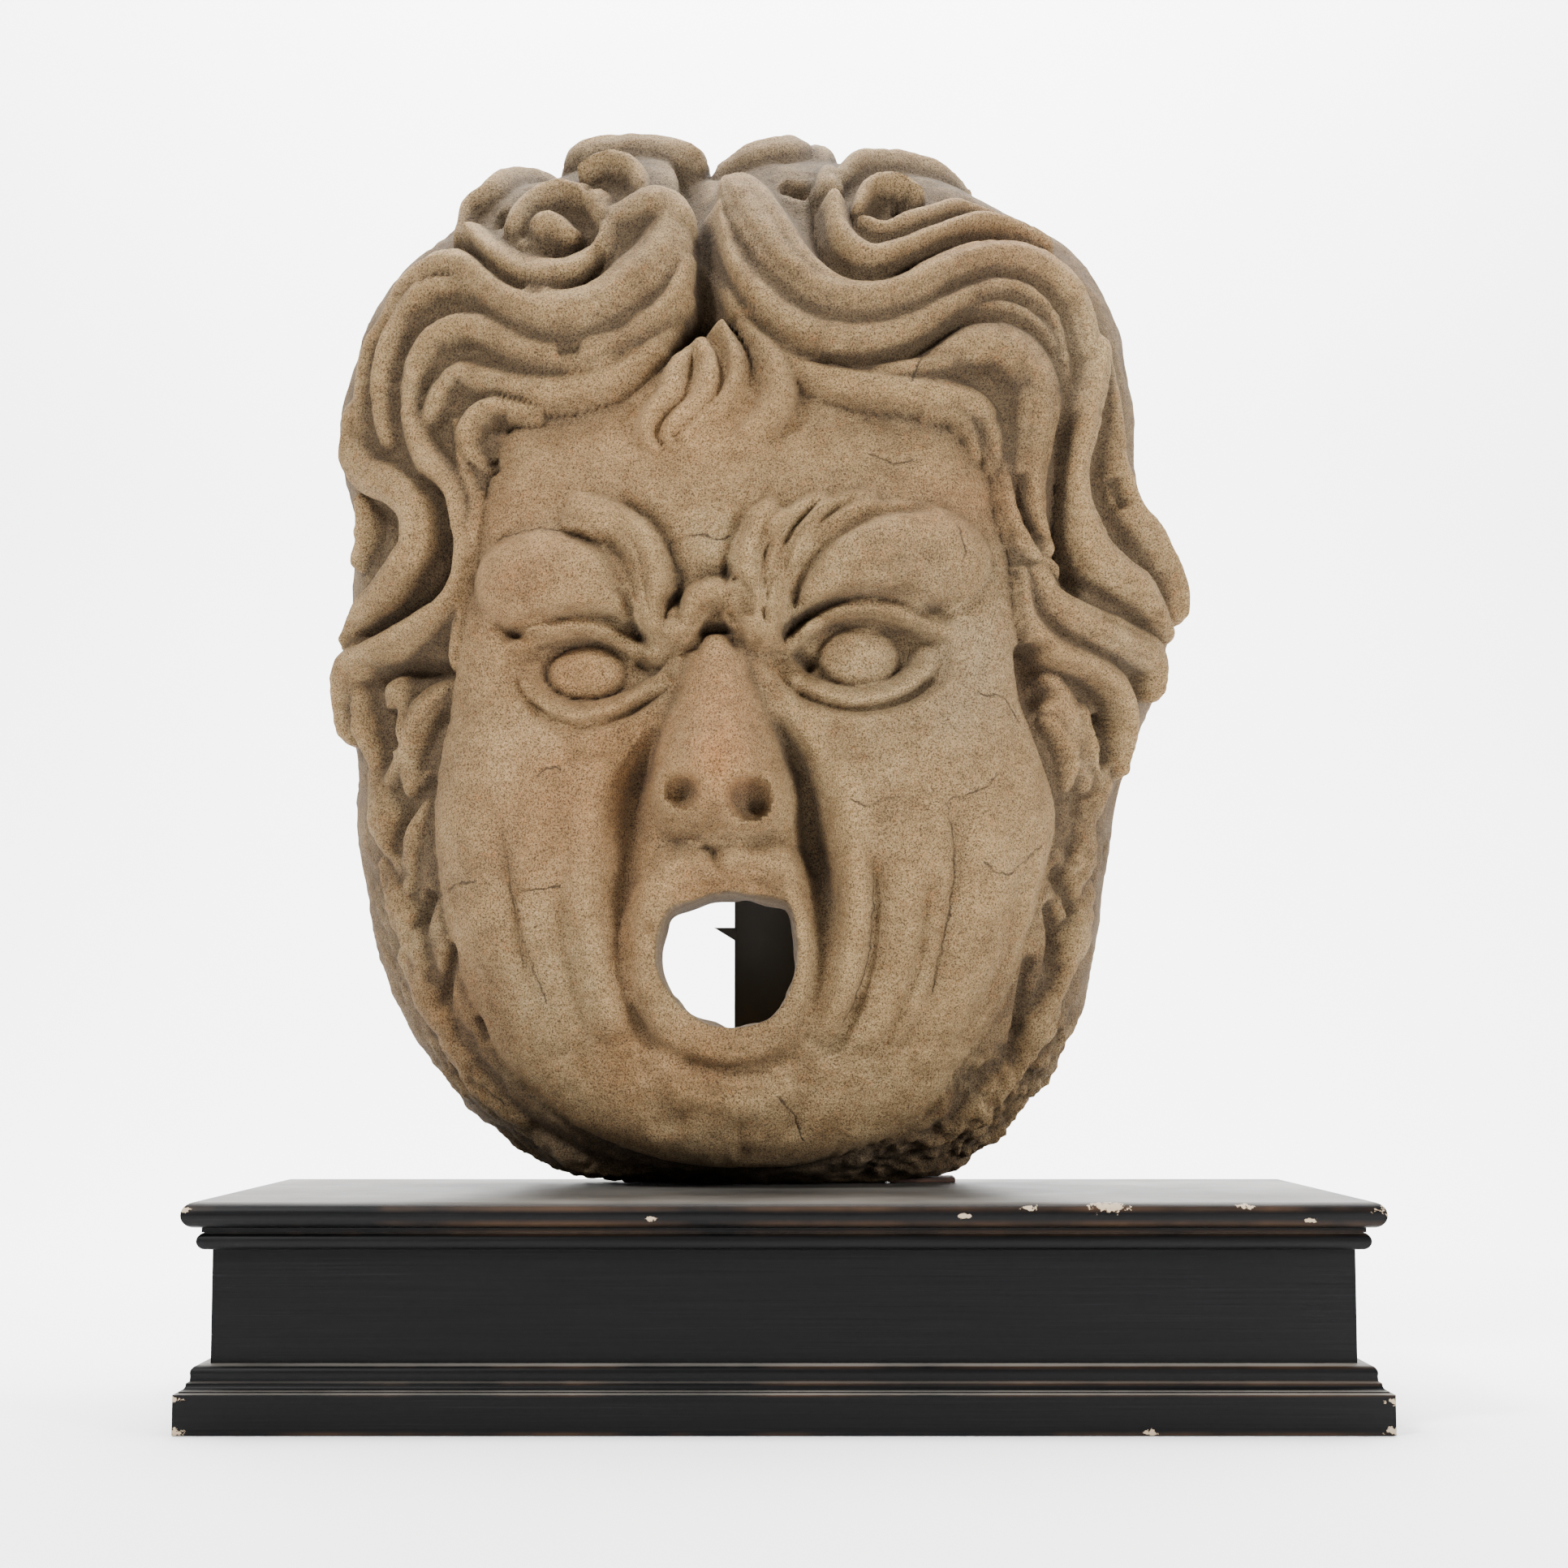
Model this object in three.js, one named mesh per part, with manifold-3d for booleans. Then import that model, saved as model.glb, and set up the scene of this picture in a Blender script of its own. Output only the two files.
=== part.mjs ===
import * as THREE from "three";
import { mergeVertices } from "three/addons/utils/BufferGeometryUtils.js";
import Module from "manifold-3d";

// Fountain mask of sandstone on a black wooden plinth.
// Millimetres, +Z up, the face looks along -Y, origin at the middle of the plinth's underside.

// Plinth sizes
const plinthWidth = 800;
const plinthDepth = 388;
const plinthHeight = 151.5;
const topBoardThickness = 17;
const frieze = { setBack: 18.4, thickness: 18 };
const bedMould = { setBack: 9, height: 14.5, fillet: 3, filletSetBack: 12 };
const baseMould = {
  height: 44.8, blockHeight: 26.2, blockProjection: 2.3, chamfer: 1,
  ovoloHeight: 5, ovoloDepth: 4, stepHeight: 33, stepRise: 1.2, rollSetBack: 7, rollHeight: 10,
};
const jointGap = 0.3;

// Stone sizes. Its back stands in from the back edge of the top board.
const stoneHeight = 830;
const stoneDepth = 185;
const stoneBackInset = 54;
const domePower = 2.6;
const hollow = {
  width: 370, height: 500, depth: 108, draft: 30, centreX: -18, centreAboveFoot: 318, corner: 0.62,
};
const mouth = { flare: 1.12, taper: 0.9, pastFront: 80, pastFloor: 6 };

// Heights of the carving above or below the blank
const hairGround = -6;
const hairMassRise = 18;
const creaseDepth = 7;
const lockSpread = 1.12;
const faceRise = 26;
const faceEdgeRadius = 48;
const cheekRise = 15;
const browRise = 19;
const socketDepth = 15;
const eyeballRise = 16;
const noseRise = 58;
const noseBase = 8;
const noseFlat = 0.22;
const lipRise = 11;
const foldDepth = 26;
const wearShare = 0.3;

// Steel support behind the stone
const post = { left: -39, right: 11, depth: 40, height: 520 };
const foot = { width: 150, depth: 45, thickness: 6 };
const lug = { reach: 16, height: 11, thickness: 8, aboveFoot: 192 };

// Packing wedge under the stone's right corner
const wedge = { left: 82, right: 132, underStone: 27, behindStone: 8, thickness: 4.4, clearance: 3 };

// The carving is set out on a square drawing sheet, seen from one station point.
// Sheet numbers run from the upper left corner.
const sheet = { middle: 966, reach: 3500, stationDistance: 2094, stationHeight: 244.5, pitchDegrees: 5.58 };
const drawn = { footZ: 151.5, height: 830, backY: 140, outlineY: 80, lipY: -60, faceY: -40 };
const faceCentre = [925, 800];
const mouthCentre = [896, 1183];
const gridCells = 64;
const finestWidth = 7.5;

const wasm = await Module();
wasm.setup();

const pitch = THREE.MathUtils.degToRad(sheet.pitchDegrees);
const station = new THREE.Vector3(0, -sheet.stationDistance, sheet.stationHeight);

function clamp(value, low, high) {
  return Math.min(high, Math.max(low, value));
}

function toSheet(p) {
  const ahead = p.y - station.y;
  const above = p.z - station.z;
  const depth = ahead * Math.cos(pitch) + above * Math.sin(pitch);
  const rise = above * Math.cos(pitch) - ahead * Math.sin(pitch);
  return [sheet.middle + sheet.reach * (p.x - station.x) / depth, sheet.middle - sheet.reach * rise / depth];
}

function fromSheet(u, v, depthY) {
  const across = (u - sheet.middle) / sheet.reach;
  const up = (sheet.middle - v) / sheet.reach;
  const steps = (depthY - station.y) / (Math.cos(pitch) - up * Math.sin(pitch));
  const rise = Math.sin(pitch) + up * Math.cos(pitch);
  return new THREE.Vector3(station.x + steps * across, depthY, station.z + steps * rise);
}

function smoothLine(points, closed, density) {
  const curve = new THREE.CatmullRomCurve3(points, closed, "centripetal");
  return curve.getPoints(points.length * density);
}

// Outline of the blank, read clockwise from the parting
const outline = [
  [880, 224], [960, 196], [1060, 202], [1160, 222], [1240, 262], [1325, 306], [1387, 385], [1412, 475],
  [1416, 565], [1438, 655], [1462, 745], [1446, 840], [1412, 920], [1388, 1000], [1378, 1080], [1366, 1170],
  [1344, 1262], [1306, 1340], [1250, 1400], [1180, 1455], [1040, 1475], [930, 1478], [820, 1475], [708, 1462],
  [624, 1425], [556, 1368], [494, 1282], [454, 1190], [434, 1100], [422, 1010], [420, 930], [414, 870],
  [414, 800], [416, 720], [420, 640], [402, 560], [406, 480], [438, 392], [496, 322], [562, 276],
  [612, 236], [690, 218], [740, 192], [810, 190],
];

const centre = fromSheet(faceCentre[0], faceCentre[1], drawn.faceY);
const outlineTable = smoothLine(outline.map((p) => fromSheet(p[0], p[1], drawn.outlineY)), true, 8)
  .map((p) => {
    const angle = Math.atan2(p.z - centre.z, p.x - centre.x);
    return [angle < 0 ? angle + 2 * Math.PI : angle, Math.hypot(p.x - centre.x, p.z - centre.z)];
  })
  .sort((a, b) => a[0] - b[0]);

function outlineRadius(angle) {
  const turn = 2 * Math.PI;
  const at = ((angle % turn) + turn) % turn;
  const count = outlineTable.length;
  let next = outlineTable.findIndex((row) => row[0] > at);
  if (next < 0) next = count;
  const before = outlineTable[(next + count - 1) % count];
  const after = outlineTable[next % count];
  const start = next === 0 ? before[0] - turn : before[0];
  const end = next === count ? after[0] + turn : after[0];
  const share = end > start ? (at - start) / (end - start) : 0;
  return before[1] + (after[1] - before[1]) * share;
}

// Section of the dome, walked at even arc length from the front to the rim
const meridian = [];
{
  const meanRadius = 340;
  let length = 0;
  let last = null;
  for (let i = 0; i <= 600; i += 1) {
    const a = (Math.PI / 2) * (i / 600);
    const rho = Math.sin(a) ** (2 / domePower);
    const drop = 1 - Math.cos(a) ** (2 / domePower);
    if (last) length += Math.hypot((rho - last[0]) * meanRadius, (drop - last[1]) * stoneDepth);
    last = [rho, drop];
    meridian.push([length, rho, drop]);
  }
  meridian.forEach((row) => { row[0] /= length; });
}

function meridianAt(share) {
  const s = clamp(share, 0, 1);
  let low = 0;
  let high = meridian.length - 1;
  while (high - low > 1) {
    const mid = (low + high) >> 1;
    if (meridian[mid][0] > s) high = mid;
    else low = mid;
  }
  const t = (s - meridian[low][0]) / (meridian[high][0] - meridian[low][0]);
  return [1, 2].map((k) => meridian[low][k] + (meridian[high][k] - meridian[low][k]) * t);
}

function blankPoint(angle, share) {
  const [rho, drop] = meridianAt(share);
  const radius = outlineRadius(angle) * rho;
  return new THREE.Vector3(
    centre.x + radius * Math.cos(angle),
    drawn.backY - stoneDepth * (1 - drop),
    centre.z + radius * Math.sin(angle),
  );
}

function blankNormal(angle, share) {
  const step = 0.004;
  const s = Math.max(share, 0.01);
  const round = blankPoint(angle + step / s, s).sub(blankPoint(angle - step / s, s));
  const inward = blankPoint(angle, Math.min(1, s + step)).sub(blankPoint(angle, s - step));
  const normal = round.cross(inward).normalize();
  const outward = new THREE.Vector3(Math.cos(angle) * s, -1 + s, Math.sin(angle) * s);
  return normal.dot(outward) < 0 ? normal.negate() : normal;
}

// Square cells wrapped over the dome
function squareToDisc(a, b) {
  const share = Math.max(Math.abs(a), Math.abs(b));
  if (share === 0) return [0, 0];
  if (Math.abs(a) >= Math.abs(b)) {
    const start = a >= 0 ? 0 : Math.PI;
    return [start + (Math.PI / 4) * (b / a), share];
  }
  const start = b >= 0 ? Math.PI / 2 : -Math.PI / 2;
  return [start - (Math.PI / 4) * (a / b), share];
}

function dressBlank(cells) {
  const nodes = [];
  for (let j = 0; j <= cells; j += 1) {
    for (let i = 0; i <= cells; i += 1) {
      const [angle, share] = squareToDisc((2 * i) / cells - 1, (2 * j) / cells - 1);
      const point = blankPoint(angle, share);
      const normal = blankNormal(angle, share);
      const seen = toSheet(point.clone().addScaledVector(normal, 10));
      nodes.push({ angle, share, point, normal, seen, height: 0 });
    }
  }
  return nodes;
}

const nodes = dressBlank(gridCells);

// Point of the blank whose surface, raised by lift, is seen at (u, v)
function seat(u, v, lift) {
  let best = null;
  let bestGap = Infinity;
  for (const node of nodes) {
    if (node.normal.y > 0.35) continue;
    const seen = toSheet(node.point.clone().addScaledVector(node.normal, lift));
    const gap = (seen[0] - u) ** 2 + (seen[1] - v) ** 2;
    if (gap < bestGap) {
      bestGap = gap;
      best = node;
    }
  }
  let angle = best.angle;
  let share = best.share;
  const look = (a, s) => toSheet(blankPoint(a, s).addScaledVector(blankNormal(a, s), lift));
  for (let round = 0; round < 4; round += 1) {
    const here = look(angle, share);
    const byAngle = look(angle + 0.002, share);
    const byShare = look(angle, share - 0.002);
    const m = [
      (byAngle[0] - here[0]) / 0.002, (here[0] - byShare[0]) / 0.002,
      (byAngle[1] - here[1]) / 0.002, (here[1] - byShare[1]) / 0.002,
    ];
    const det = m[0] * m[3] - m[1] * m[2];
    if (Math.abs(det) < 1) break;
    const eu = u - here[0];
    const ev = v - here[1];
    angle += clamp((m[3] * eu - m[1] * ev) / det, -0.05, 0.05);
    share = clamp(share + clamp((m[0] * ev - m[2] * eu) / det, -0.02, 0.02), 0.005, 1);
  }
  return blankPoint(angle, share);
}

// Distance from each node to a line laid on the blank, with the share run along it
function nearLine(points, lift, reach, closed, act) {
  const seats = points.map((p) => seat(p[0], p[1], lift));
  const line = smoothLine(seats, closed, 5);
  const lengths = [0];
  for (let i = 1; i < line.length; i += 1) lengths.push(lengths[i - 1] + line[i].distanceTo(line[i - 1]));
  const total = lengths[lengths.length - 1];
  const box = new THREE.Box3().setFromPoints(line).expandByScalar(reach);
  const segment = new THREE.Line3();
  const foot3 = new THREE.Vector3();
  for (const node of nodes) {
    if (!box.containsPoint(node.point)) continue;
    let best = Infinity;
    let at = 0;
    for (let i = 1; i < line.length; i += 1) {
      segment.set(line[i - 1], line[i]);
      const t = segment.closestPointToPointParameter(node.point, true);
      segment.at(t, foot3);
      const gap = foot3.distanceToSquared(node.point);
      if (gap < best) {
        best = gap;
        at = (lengths[i - 1] + t * (lengths[i] - lengths[i - 1])) / total;
      }
    }
    act(node, Math.sqrt(best), at);
  }
}

function valueAlong(values, share) {
  const at = share * (values.length - 1);
  const low = Math.min(values.length - 2, Math.floor(at));
  return values[low] + (values[low + 1] - values[low]) * (at - low);
}

function taper(share, closed) {
  return closed ? 1 : Math.sqrt(clamp(Math.min(share, 1 - share) * 8, 0, 1));
}

// Narrow lines are widened to what the cells can carry, and made lower to match
function raiseLine(halfWidth, height, points, closed = false) {
  const width = Math.max(halfWidth, finestWidth);
  const crest = height * Math.sqrt(halfWidth / width);
  nearLine(points, 10, width * 2.4, closed, (node, gap, share) => {
    node.height += crest * taper(share, closed) * Math.exp(-((gap / width) ** 2));
  });
}

function raiseRoll(halfWidth, height, points, closed = false) {
  nearLine(points, 10, halfWidth * 1.2, closed, (node, gap, share) => {
    node.height += height * taper(share, closed) * clamp(1 - (gap / halfWidth) ** 2, 0, 1);
  });
}

function raiseSwell(at, radiusX, radiusZ, height, fall = 1, turnDegrees = 0, lift = 10) {
  const middle = seat(at[0], at[1], lift);
  const turn = THREE.MathUtils.degToRad(turnDegrees);
  for (const node of nodes) {
    const dx = node.point.x - middle.x;
    const dz = node.point.z - middle.z;
    const along = (dx * Math.cos(turn) + dz * Math.sin(turn)) / radiusX;
    const across = (dz * Math.cos(turn) - dx * Math.sin(turn)) / radiusZ;
    const r = along * along + across * across;
    if (r < 1) node.height += height * (1 - r) ** fall;
  }
}

function insideSheetLine(point, line) {
  let inside = false;
  for (let i = 0, j = line.length - 1; i < line.length; j = i, i += 1) {
    const [ax, ay] = line[i];
    const [bx, by] = line[j];
    if ((ay > point[1]) !== (by > point[1]) && point[0] < ((bx - ax) * (point[1] - ay)) / (by - ay) + ax) {
      inside = !inside;
    }
  }
  return inside;
}

// Edge of the face, with the rounded step that lifts it off the hair
const faceEdge = [
  [620, 520], [592, 600], [575, 690], [560, 780], [545, 880], [530, 960], [532, 1080], [560, 1215],
  [600, 1295], [660, 1365], [765, 1420], [850, 1436], [950, 1442], [1050, 1434], [1145, 1378], [1222, 1272],
  [1268, 1175], [1300, 1065], [1308, 990], [1288, 925], [1262, 830], [1252, 710], [1222, 575], [1150, 490],
  [1040, 460], [950, 400], [870, 380], [800, 430], [700, 470],
];

for (const node of nodes) {
  node.inFace = insideSheetLine(node.seen, faceEdge);
  node.edgeGap = 400;
}
nearLine(faceEdge, 8, 400, true, (node, gap) => { node.edgeGap = gap; });

for (const node of nodes) {
  const towardTop = clamp((430 - node.seen[1]) / 200, 0, 1);
  node.hair = hairGround + hairMassRise * towardTop;
  const share = clamp(node.edgeGap / faceEdgeRadius, 0, 1);
  const puffed = hairGround + faceRise * Math.sqrt(1 - (1 - share) ** 2);
  const flatter = -2 + 14 * share;
  const low = clamp((node.seen[1] - 520) / 80, 0, 1);
  node.height = flatter * (1 - low) + puffed * low;
}

// Swelling forms of the face
raiseSwell([640, 1010], 75, 110, cheekRise, 1.5);
raiseSwell([1160, 1010], 85, 115, cheekRise + 2, 1.5);
raiseSwell([900, 1370], 120, 60, 12, 1.5);
raiseSwell([682, 720], 57, 40, browRise, 0.9, -8);
raiseSwell([1096, 695], 72, 44, browRise + 3, 0.9, 6);
raiseSwell([728, 826], 64, 40, -socketDepth, 1);
raiseSwell([1056, 810], 68, 42, -socketDepth - 1, 1);
raiseSwell([727, 828], 34, 25, eyeballRise, 0.6);
raiseSwell([1062, 804], 37, 27, eyeballRise + 1, 0.6);

// Nose: stations down the ridge, as sheet place, half width and share of the nose's height
const noseStations = [
  [885, 790, 22, 0.37], [883, 850, 27, 0.56], [881, 910, 38, 0.87], [884, 945, 47, 1], [886, 975, 52, 0.93],
  [885, 1005, 50, 0.67], [880, 1030, 40, 0.37], [880, 1046, 26, 0.15],
];
{
  const rows = noseStations.map(([u, v, half, share]) => {
    const p = seat(u, v, 0.55 * noseRise * share + 10);
    return { x: p.x, z: p.z, half, rise: share * noseRise };
  });
  for (const node of nodes) {
    const top = rows[0].z;
    const bottom = rows[rows.length - 1].z;
    const z = clamp(node.point.z, bottom, top);
    let i = rows.findIndex((row) => row.z <= z);
    if (i < 1) i = 1;
    const a = rows[i - 1];
    const b = rows[i];
    const t = clamp((a.z - z) / (a.z - b.z), 0, 1);
    const mix = (key) => a[key] + (b[key] - a[key]) * t;
    const past = (Math.max(node.point.z - top, 0) + Math.max(bottom - node.point.z, 0)) / 7;
    const r = Math.hypot((node.point.x - mix("x")) / mix("half"), past);
    if (r < 1) {
      const side = clamp((r - noseFlat) / (1 - noseFlat), 0, 1);
      const rise = mix("rise") * (1 - side ** 1.5) ** 0.85;
      node.height = Math.max(node.height, node.height * 0.35 + rise + noseBase);
    }
  }
}
raiseSwell([815, 975], 16, 22, 7, 1, 0, 40);
raiseSwell([962, 975], 16, 24, 7, 1, 0, 40);
raiseSwell([840, 978], 13, 12, -17, 0.7, 0, 50);
raiseSwell([924, 984], 17, 15, -21, 0.7, 0, 50);

// Eyelids
raiseLine(5, 9, [[638, 812], [662, 792], [720, 772], [765, 785], [805, 814]]);
raiseLine(5, 8, [[650, 815], [658, 845], [684, 870], [720, 876], [780, 850], [830, 820]]);
raiseLine(5, 10, [[966, 800], [1030, 760], [1062, 754], [1120, 768], [1168, 786]]);
raiseLine(5, 9, [[960, 804], [1002, 853], [1046, 859], [1118, 830], [1150, 788]]);

// Scrolled folds of the brow and the pinched root of the nose
raiseRoll(16, 16, [[716, 648], [752, 652], [790, 690], [806, 766], [846, 790]]);
raiseRoll(14, 15, [[996, 622], [946, 656], [926, 700], [932, 745], [956, 786]]);
raiseRoll(12, 12, [[1080, 624], [1000, 662], [968, 704], [962, 752]]);
raiseLine(5, -7, [[790, 630], [830, 690], [824, 762]]);
raiseLine(4, -7, [[1058, 630], [1004, 680], [972, 742]]);
raiseRoll(11, 11, [[836, 796], [845, 756], [885, 733], [925, 762], [942, 796]]);
raiseLine(5, -10, [[850, 802], [880, 776], [916, 798]]);
raiseLine(5, -10, [[612, 770], [648, 786], [692, 770], [768, 760]]);
raiseLine(5, -11, [[958, 790], [1010, 750], [1090, 746], [1182, 738]]);

// Deep folds from the nose past the mouth, then the folds of the cheeks
raiseLine(9, 2 - foldDepth, [[806, 900], [778, 980], [770, 1060], [768, 1120]]);
raiseLine(7, 8 - foldDepth, [[772, 1050], [768, 1160], [788, 1260], [806, 1290]]);
raiseLine(10, -3 - foldDepth, [[958, 905], [992, 985], [1006, 1075], [1016, 1150]]);
raiseLine(7, 8 - foldDepth, [[1010, 1100], [1015, 1190], [990, 1266]]);
raiseLine(14, 10, [[738, 940], [730, 1060], [735, 1160], [760, 1272]]);
raiseLine(14, 11, [[1040, 940], [1048, 1060], [1047, 1140], [1010, 1278]]);
raiseLine(7, -8, [[1072, 1050], [1080, 1110], [1070, 1190], [1014, 1304]]);
raiseLine(12, 5, [[1108, 1020], [1110, 1130], [1062, 1290]]);
raiseLine(7, -6, [[1165, 1000], [1169, 1060], [1150, 1200], [1100, 1304]]);
raiseLine(14, 5, [[1204, 1020], [1202, 1120], [1152, 1275]]);
raiseLine(7, -4, [[630, 1060], [642, 1112], [670, 1240]]);

// Round lips
const mouthEdge = [
  [828, 1121], [850, 1112], [880, 1103], [905, 1101], [932, 1105], [966, 1118], [980, 1148], [982, 1180],
  [974, 1212], [958, 1242], [936, 1258], [900, 1265], [868, 1258], [842, 1242], [822, 1216], [810, 1190],
  [810, 1160], [817, 1136],
];
const lipCrest = [
  [804, 1112], [838, 1086], [880, 1074], [930, 1076], [974, 1092], [997, 1128], [1000, 1180], [988, 1228],
  [950, 1268], [900, 1278], [850, 1268], [811, 1238], [793, 1190], [792, 1148],
];
raiseRoll(17, lipRise, lipCrest, true);
raiseRoll(16, lipRise - 2, [[800, 1100], [845, 1062], [900, 1056], [960, 1064], [998, 1104]]);

// Locks of hair: half widths and heights along the lock, then its course on the sheet
const locks = [
  { half: [18, 28, 24, 15, 13], rise: [32, 37, 34, 28, 14], course: [[824, 250], [812, 310], [755, 365],
    [680, 385], [610, 352], [528, 325], [474, 388], [434, 480], [436, 575]] },
  { half: [10, 18, 17, 13, 11], rise: [26, 31, 30, 26, 16], course: [[846, 320], [778, 412], [680, 438],
    [600, 405], [535, 410], [500, 470], [498, 505]] },
  { half: [9, 16, 16, 12], rise: [20, 27, 25, 14], course: [[846, 362], [792, 440], [700, 478],
    [600, 466], [545, 470], [522, 512]] },
  { half: [10, 13, 9], rise: [20, 25, 8], course: [[655, 506], [590, 508], [573, 545], [594, 574]] },
  { half: [12, 13, 13, 17, 16], rise: [18, 23, 23, 22, 14], course: [[502, 505], [552, 600], [568, 700],
    [502, 772], [424, 822], [416, 900]] },
  { half: [15, 17, 16, 13], rise: [20, 26, 26, 14], course: [[430, 511], [450, 584], [507, 627],
    [494, 694], [416, 788]] },
  { half: [12, 14, 10], rise: [8, 12, 4], course: [[540, 850], [500, 915], [470, 960]] },
  { half: [13, 19, 18, 15], rise: [26, 33, 32, 28], course: [[576, 280], [650, 338], [736, 312],
    [752, 280]] },
  { half: [10, 13, 11], rise: [21, 26, 23], course: [[564, 290], [606, 234], [686, 230]] },
  { half: [13, 16, 12], rise: [26, 33, 29], course: [[636, 276], [692, 238], [744, 268]] },
  { half: [13, 18, 18, 15], rise: [26, 33, 34, 29], course: [[698, 214], [768, 168], [852, 188],
    [866, 222]] },
  { half: [18, 24, 22], rise: [30, 38, 34], course: [[764, 262], [806, 252], [846, 266]] },
  { half: [12, 16, 11], rise: [20, 26, 6], course: [[856, 408], [872, 452], [826, 520], [804, 552]] },
  { half: [12, 17, 10], rise: [20, 25, 5], course: [[912, 390], [952, 450], [922, 532], [862, 556]] },
  { half: [15, 20, 14], rise: [28, 36, 29], course: [[884, 214], [920, 180], [966, 174], [1024, 230]] },
  { half: [12, 16, 12], rise: [22, 28, 20], course: [[1030, 226], [1108, 200], [1190, 236]] },
  { half: [10, 13, 10], rise: [26, 31, 20], course: [[1062, 276], [1134, 272], [1224, 262]] },
  { half: [13, 16, 14, 12], rise: [30, 34, 32, 22], course: [[1026, 248], [1042, 296], [1110, 312],
    [1208, 273], [1290, 294]] },
  { half: [26, 27, 22, 19, 18], rise: [36, 39, 36, 33, 26], course: [[905, 235], [965, 322], [1058, 368],
    [1162, 332], [1270, 320], [1332, 378], [1345, 425]] },
  { half: [22, 24, 18, 13, 10], rise: [34, 37, 33, 28, 20], course: [[884, 265], [938, 370], [1055, 416],
    [1165, 377], [1258, 354], [1318, 460]] },
  { half: [10, 13, 10], rise: [20, 25, 14], course: [[1165, 398], [1245, 384], [1306, 490]] },
  { half: [12, 18, 15, 11], rise: [16, 23, 20, 8], course: [[965, 440], [1070, 472], [1175, 486],
    [1234, 570]] },
  { half: [14, 25, 22, 15, 10], rise: [16, 29, 28, 21, 12], course: [[1140, 444], [1225, 420],
    [1280, 482], [1276, 580], [1298, 670]] },
  { half: [10, 13, 10], rise: [12, 19, 10], course: [[1238, 556], [1250, 645], [1302, 698]] },
  { half: [16, 19, 18, 17, 14], rise: [28, 28, 25, 20, 12], course: [[1352, 430], [1328, 550],
    [1338, 645], [1416, 730], [1446, 778]] },
  { half: [11, 16, 15, 13], rise: [6, 16, 16, 10], course: [[1372, 420], [1378, 566], [1428, 666],
    [1460, 752]] },
  { half: [12, 17, 16, 13], rise: [20, 26, 23, 16], course: [[1284, 706], [1344, 768], [1428, 812],
    [1432, 852]] },
  { half: [10, 14, 14, 12], rise: [14, 20, 20, 14], course: [[1262, 702], [1300, 798], [1384, 854],
    [1390, 948]] },
  { half: [11, 16, 11], rise: [3, 9, 3], course: [[475, 880], [485, 960], [480, 1060]] },
  { half: [12, 17, 12], rise: [3, 9, 3], course: [[470, 1090], [515, 1200], [550, 1290]] },
  { half: [12, 17, 12], rise: [3, 9, 3], course: [[1330, 890], [1352, 960], [1350, 1040]] },
  { half: [12, 17, 12], rise: [3, 9, 3], course: [[1345, 1060], [1335, 1150], [1300, 1240]] },
];
const bare = -50;
for (const node of nodes) node.lock = bare;
for (const { half, rise, course } of locks) {
  const reach = Math.max(...half) * lockSpread * 1.1;
  nearLine(course, Math.max(...rise) * 0.6, reach, false, (node, gap, share) => {
    const r = gap / valueAlong(half, share) / lockSpread;
    if (r >= 1) return;
    const crest = valueAlong(rise, share) + 10;
    node.lock = Math.max(node.lock, -10 + crest * (1 - r ** 2.2) ** 0.6);
  });
}
for (const node of nodes) {
  const ground = node.inFace ? node.height : node.hair;
  node.height = Math.max(ground, node.lock);
}

// Mean of a value over the four neighbours of each node
function neighbourMeans(values) {
  const side = gridCells + 1;
  return values.map((value, k) => {
    const i = k % side;
    const j = Math.floor(k / side);
    const left = i > 0 ? values[k - 1] : value;
    const right = i < gridCells ? values[k + 1] : value;
    const up = j > 0 ? values[k - side] : value;
    const down = j < gridCells ? values[k + side] : value;
    return (left + right + up + down) / 4;
  });
}

// The hair is one mass, so the creases between its locks stay near its mean height
{
  let massHeight = nodes.map((node) => (node.inFace ? 0 : node.height));
  let massWeight = nodes.map((node) => (node.inFace ? 0 : 1));
  for (let pass = 0; pass < 3; pass += 1) {
    massHeight = neighbourMeans(massHeight);
    massWeight = neighbourMeans(massWeight);
  }
  nodes.forEach((node, k) => {
    if (node.inFace) return;
    const upper = clamp((900 - node.seen[1]) / 200, 0, 1);
    const mass = massHeight[k] / Math.max(massWeight[k], 0.001) - creaseDepth;
    node.height = Math.max(node.height, node.height + (mass - node.height) * upper);
  });
}

// Parting, hollows between the locks and drilled shadows
raiseLine(12, -20, [[858, 190], [865, 255], [878, 325], [878, 375], [826, 435]]);
raiseLine(8, -9, [[683, 360], [720, 352], [748, 320]]);
raiseLine(8, -11, [[1006, 232], [1016, 314], [1070, 349], [1130, 325], [1190, 297]]);
raiseLine(8, -14, [[1316, 505], [1310, 600], [1342, 728]]);
raiseLine(8, -8, [[868, 258], [900, 356], [1000, 438], [1110, 436], [1188, 395]]);
raiseLine(9, -12, [[1272, 790], [1284, 838], [1304, 868]]);
raiseLine(8, -10, [[1377, 585], [1392, 624]]);
raiseLine(8, -12, [[440, 838], [462, 824], [545, 826]]);
raiseLine(8, -13, [[514, 590], [545, 650], [492, 754], [434, 790]]);
raiseLine(8, -11, [[462, 872], [468, 925]]);
raiseLine(9, -10, [[525, 955], [476, 1028], [505, 1150]]);
raiseLine(8, -10, [[1372, 885], [1382, 942]]);
raiseLine(9, -10, [[1310, 1090], [1318, 1198], [1270, 1290]]);

// Tool marks worn soft: each height drawn part of the way to its neighbours
const means = neighbourMeans(nodes.map((node) => node.height));
nodes.forEach((node, k) => { node.height += (means[k] - node.height) * wearShare; });

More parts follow.
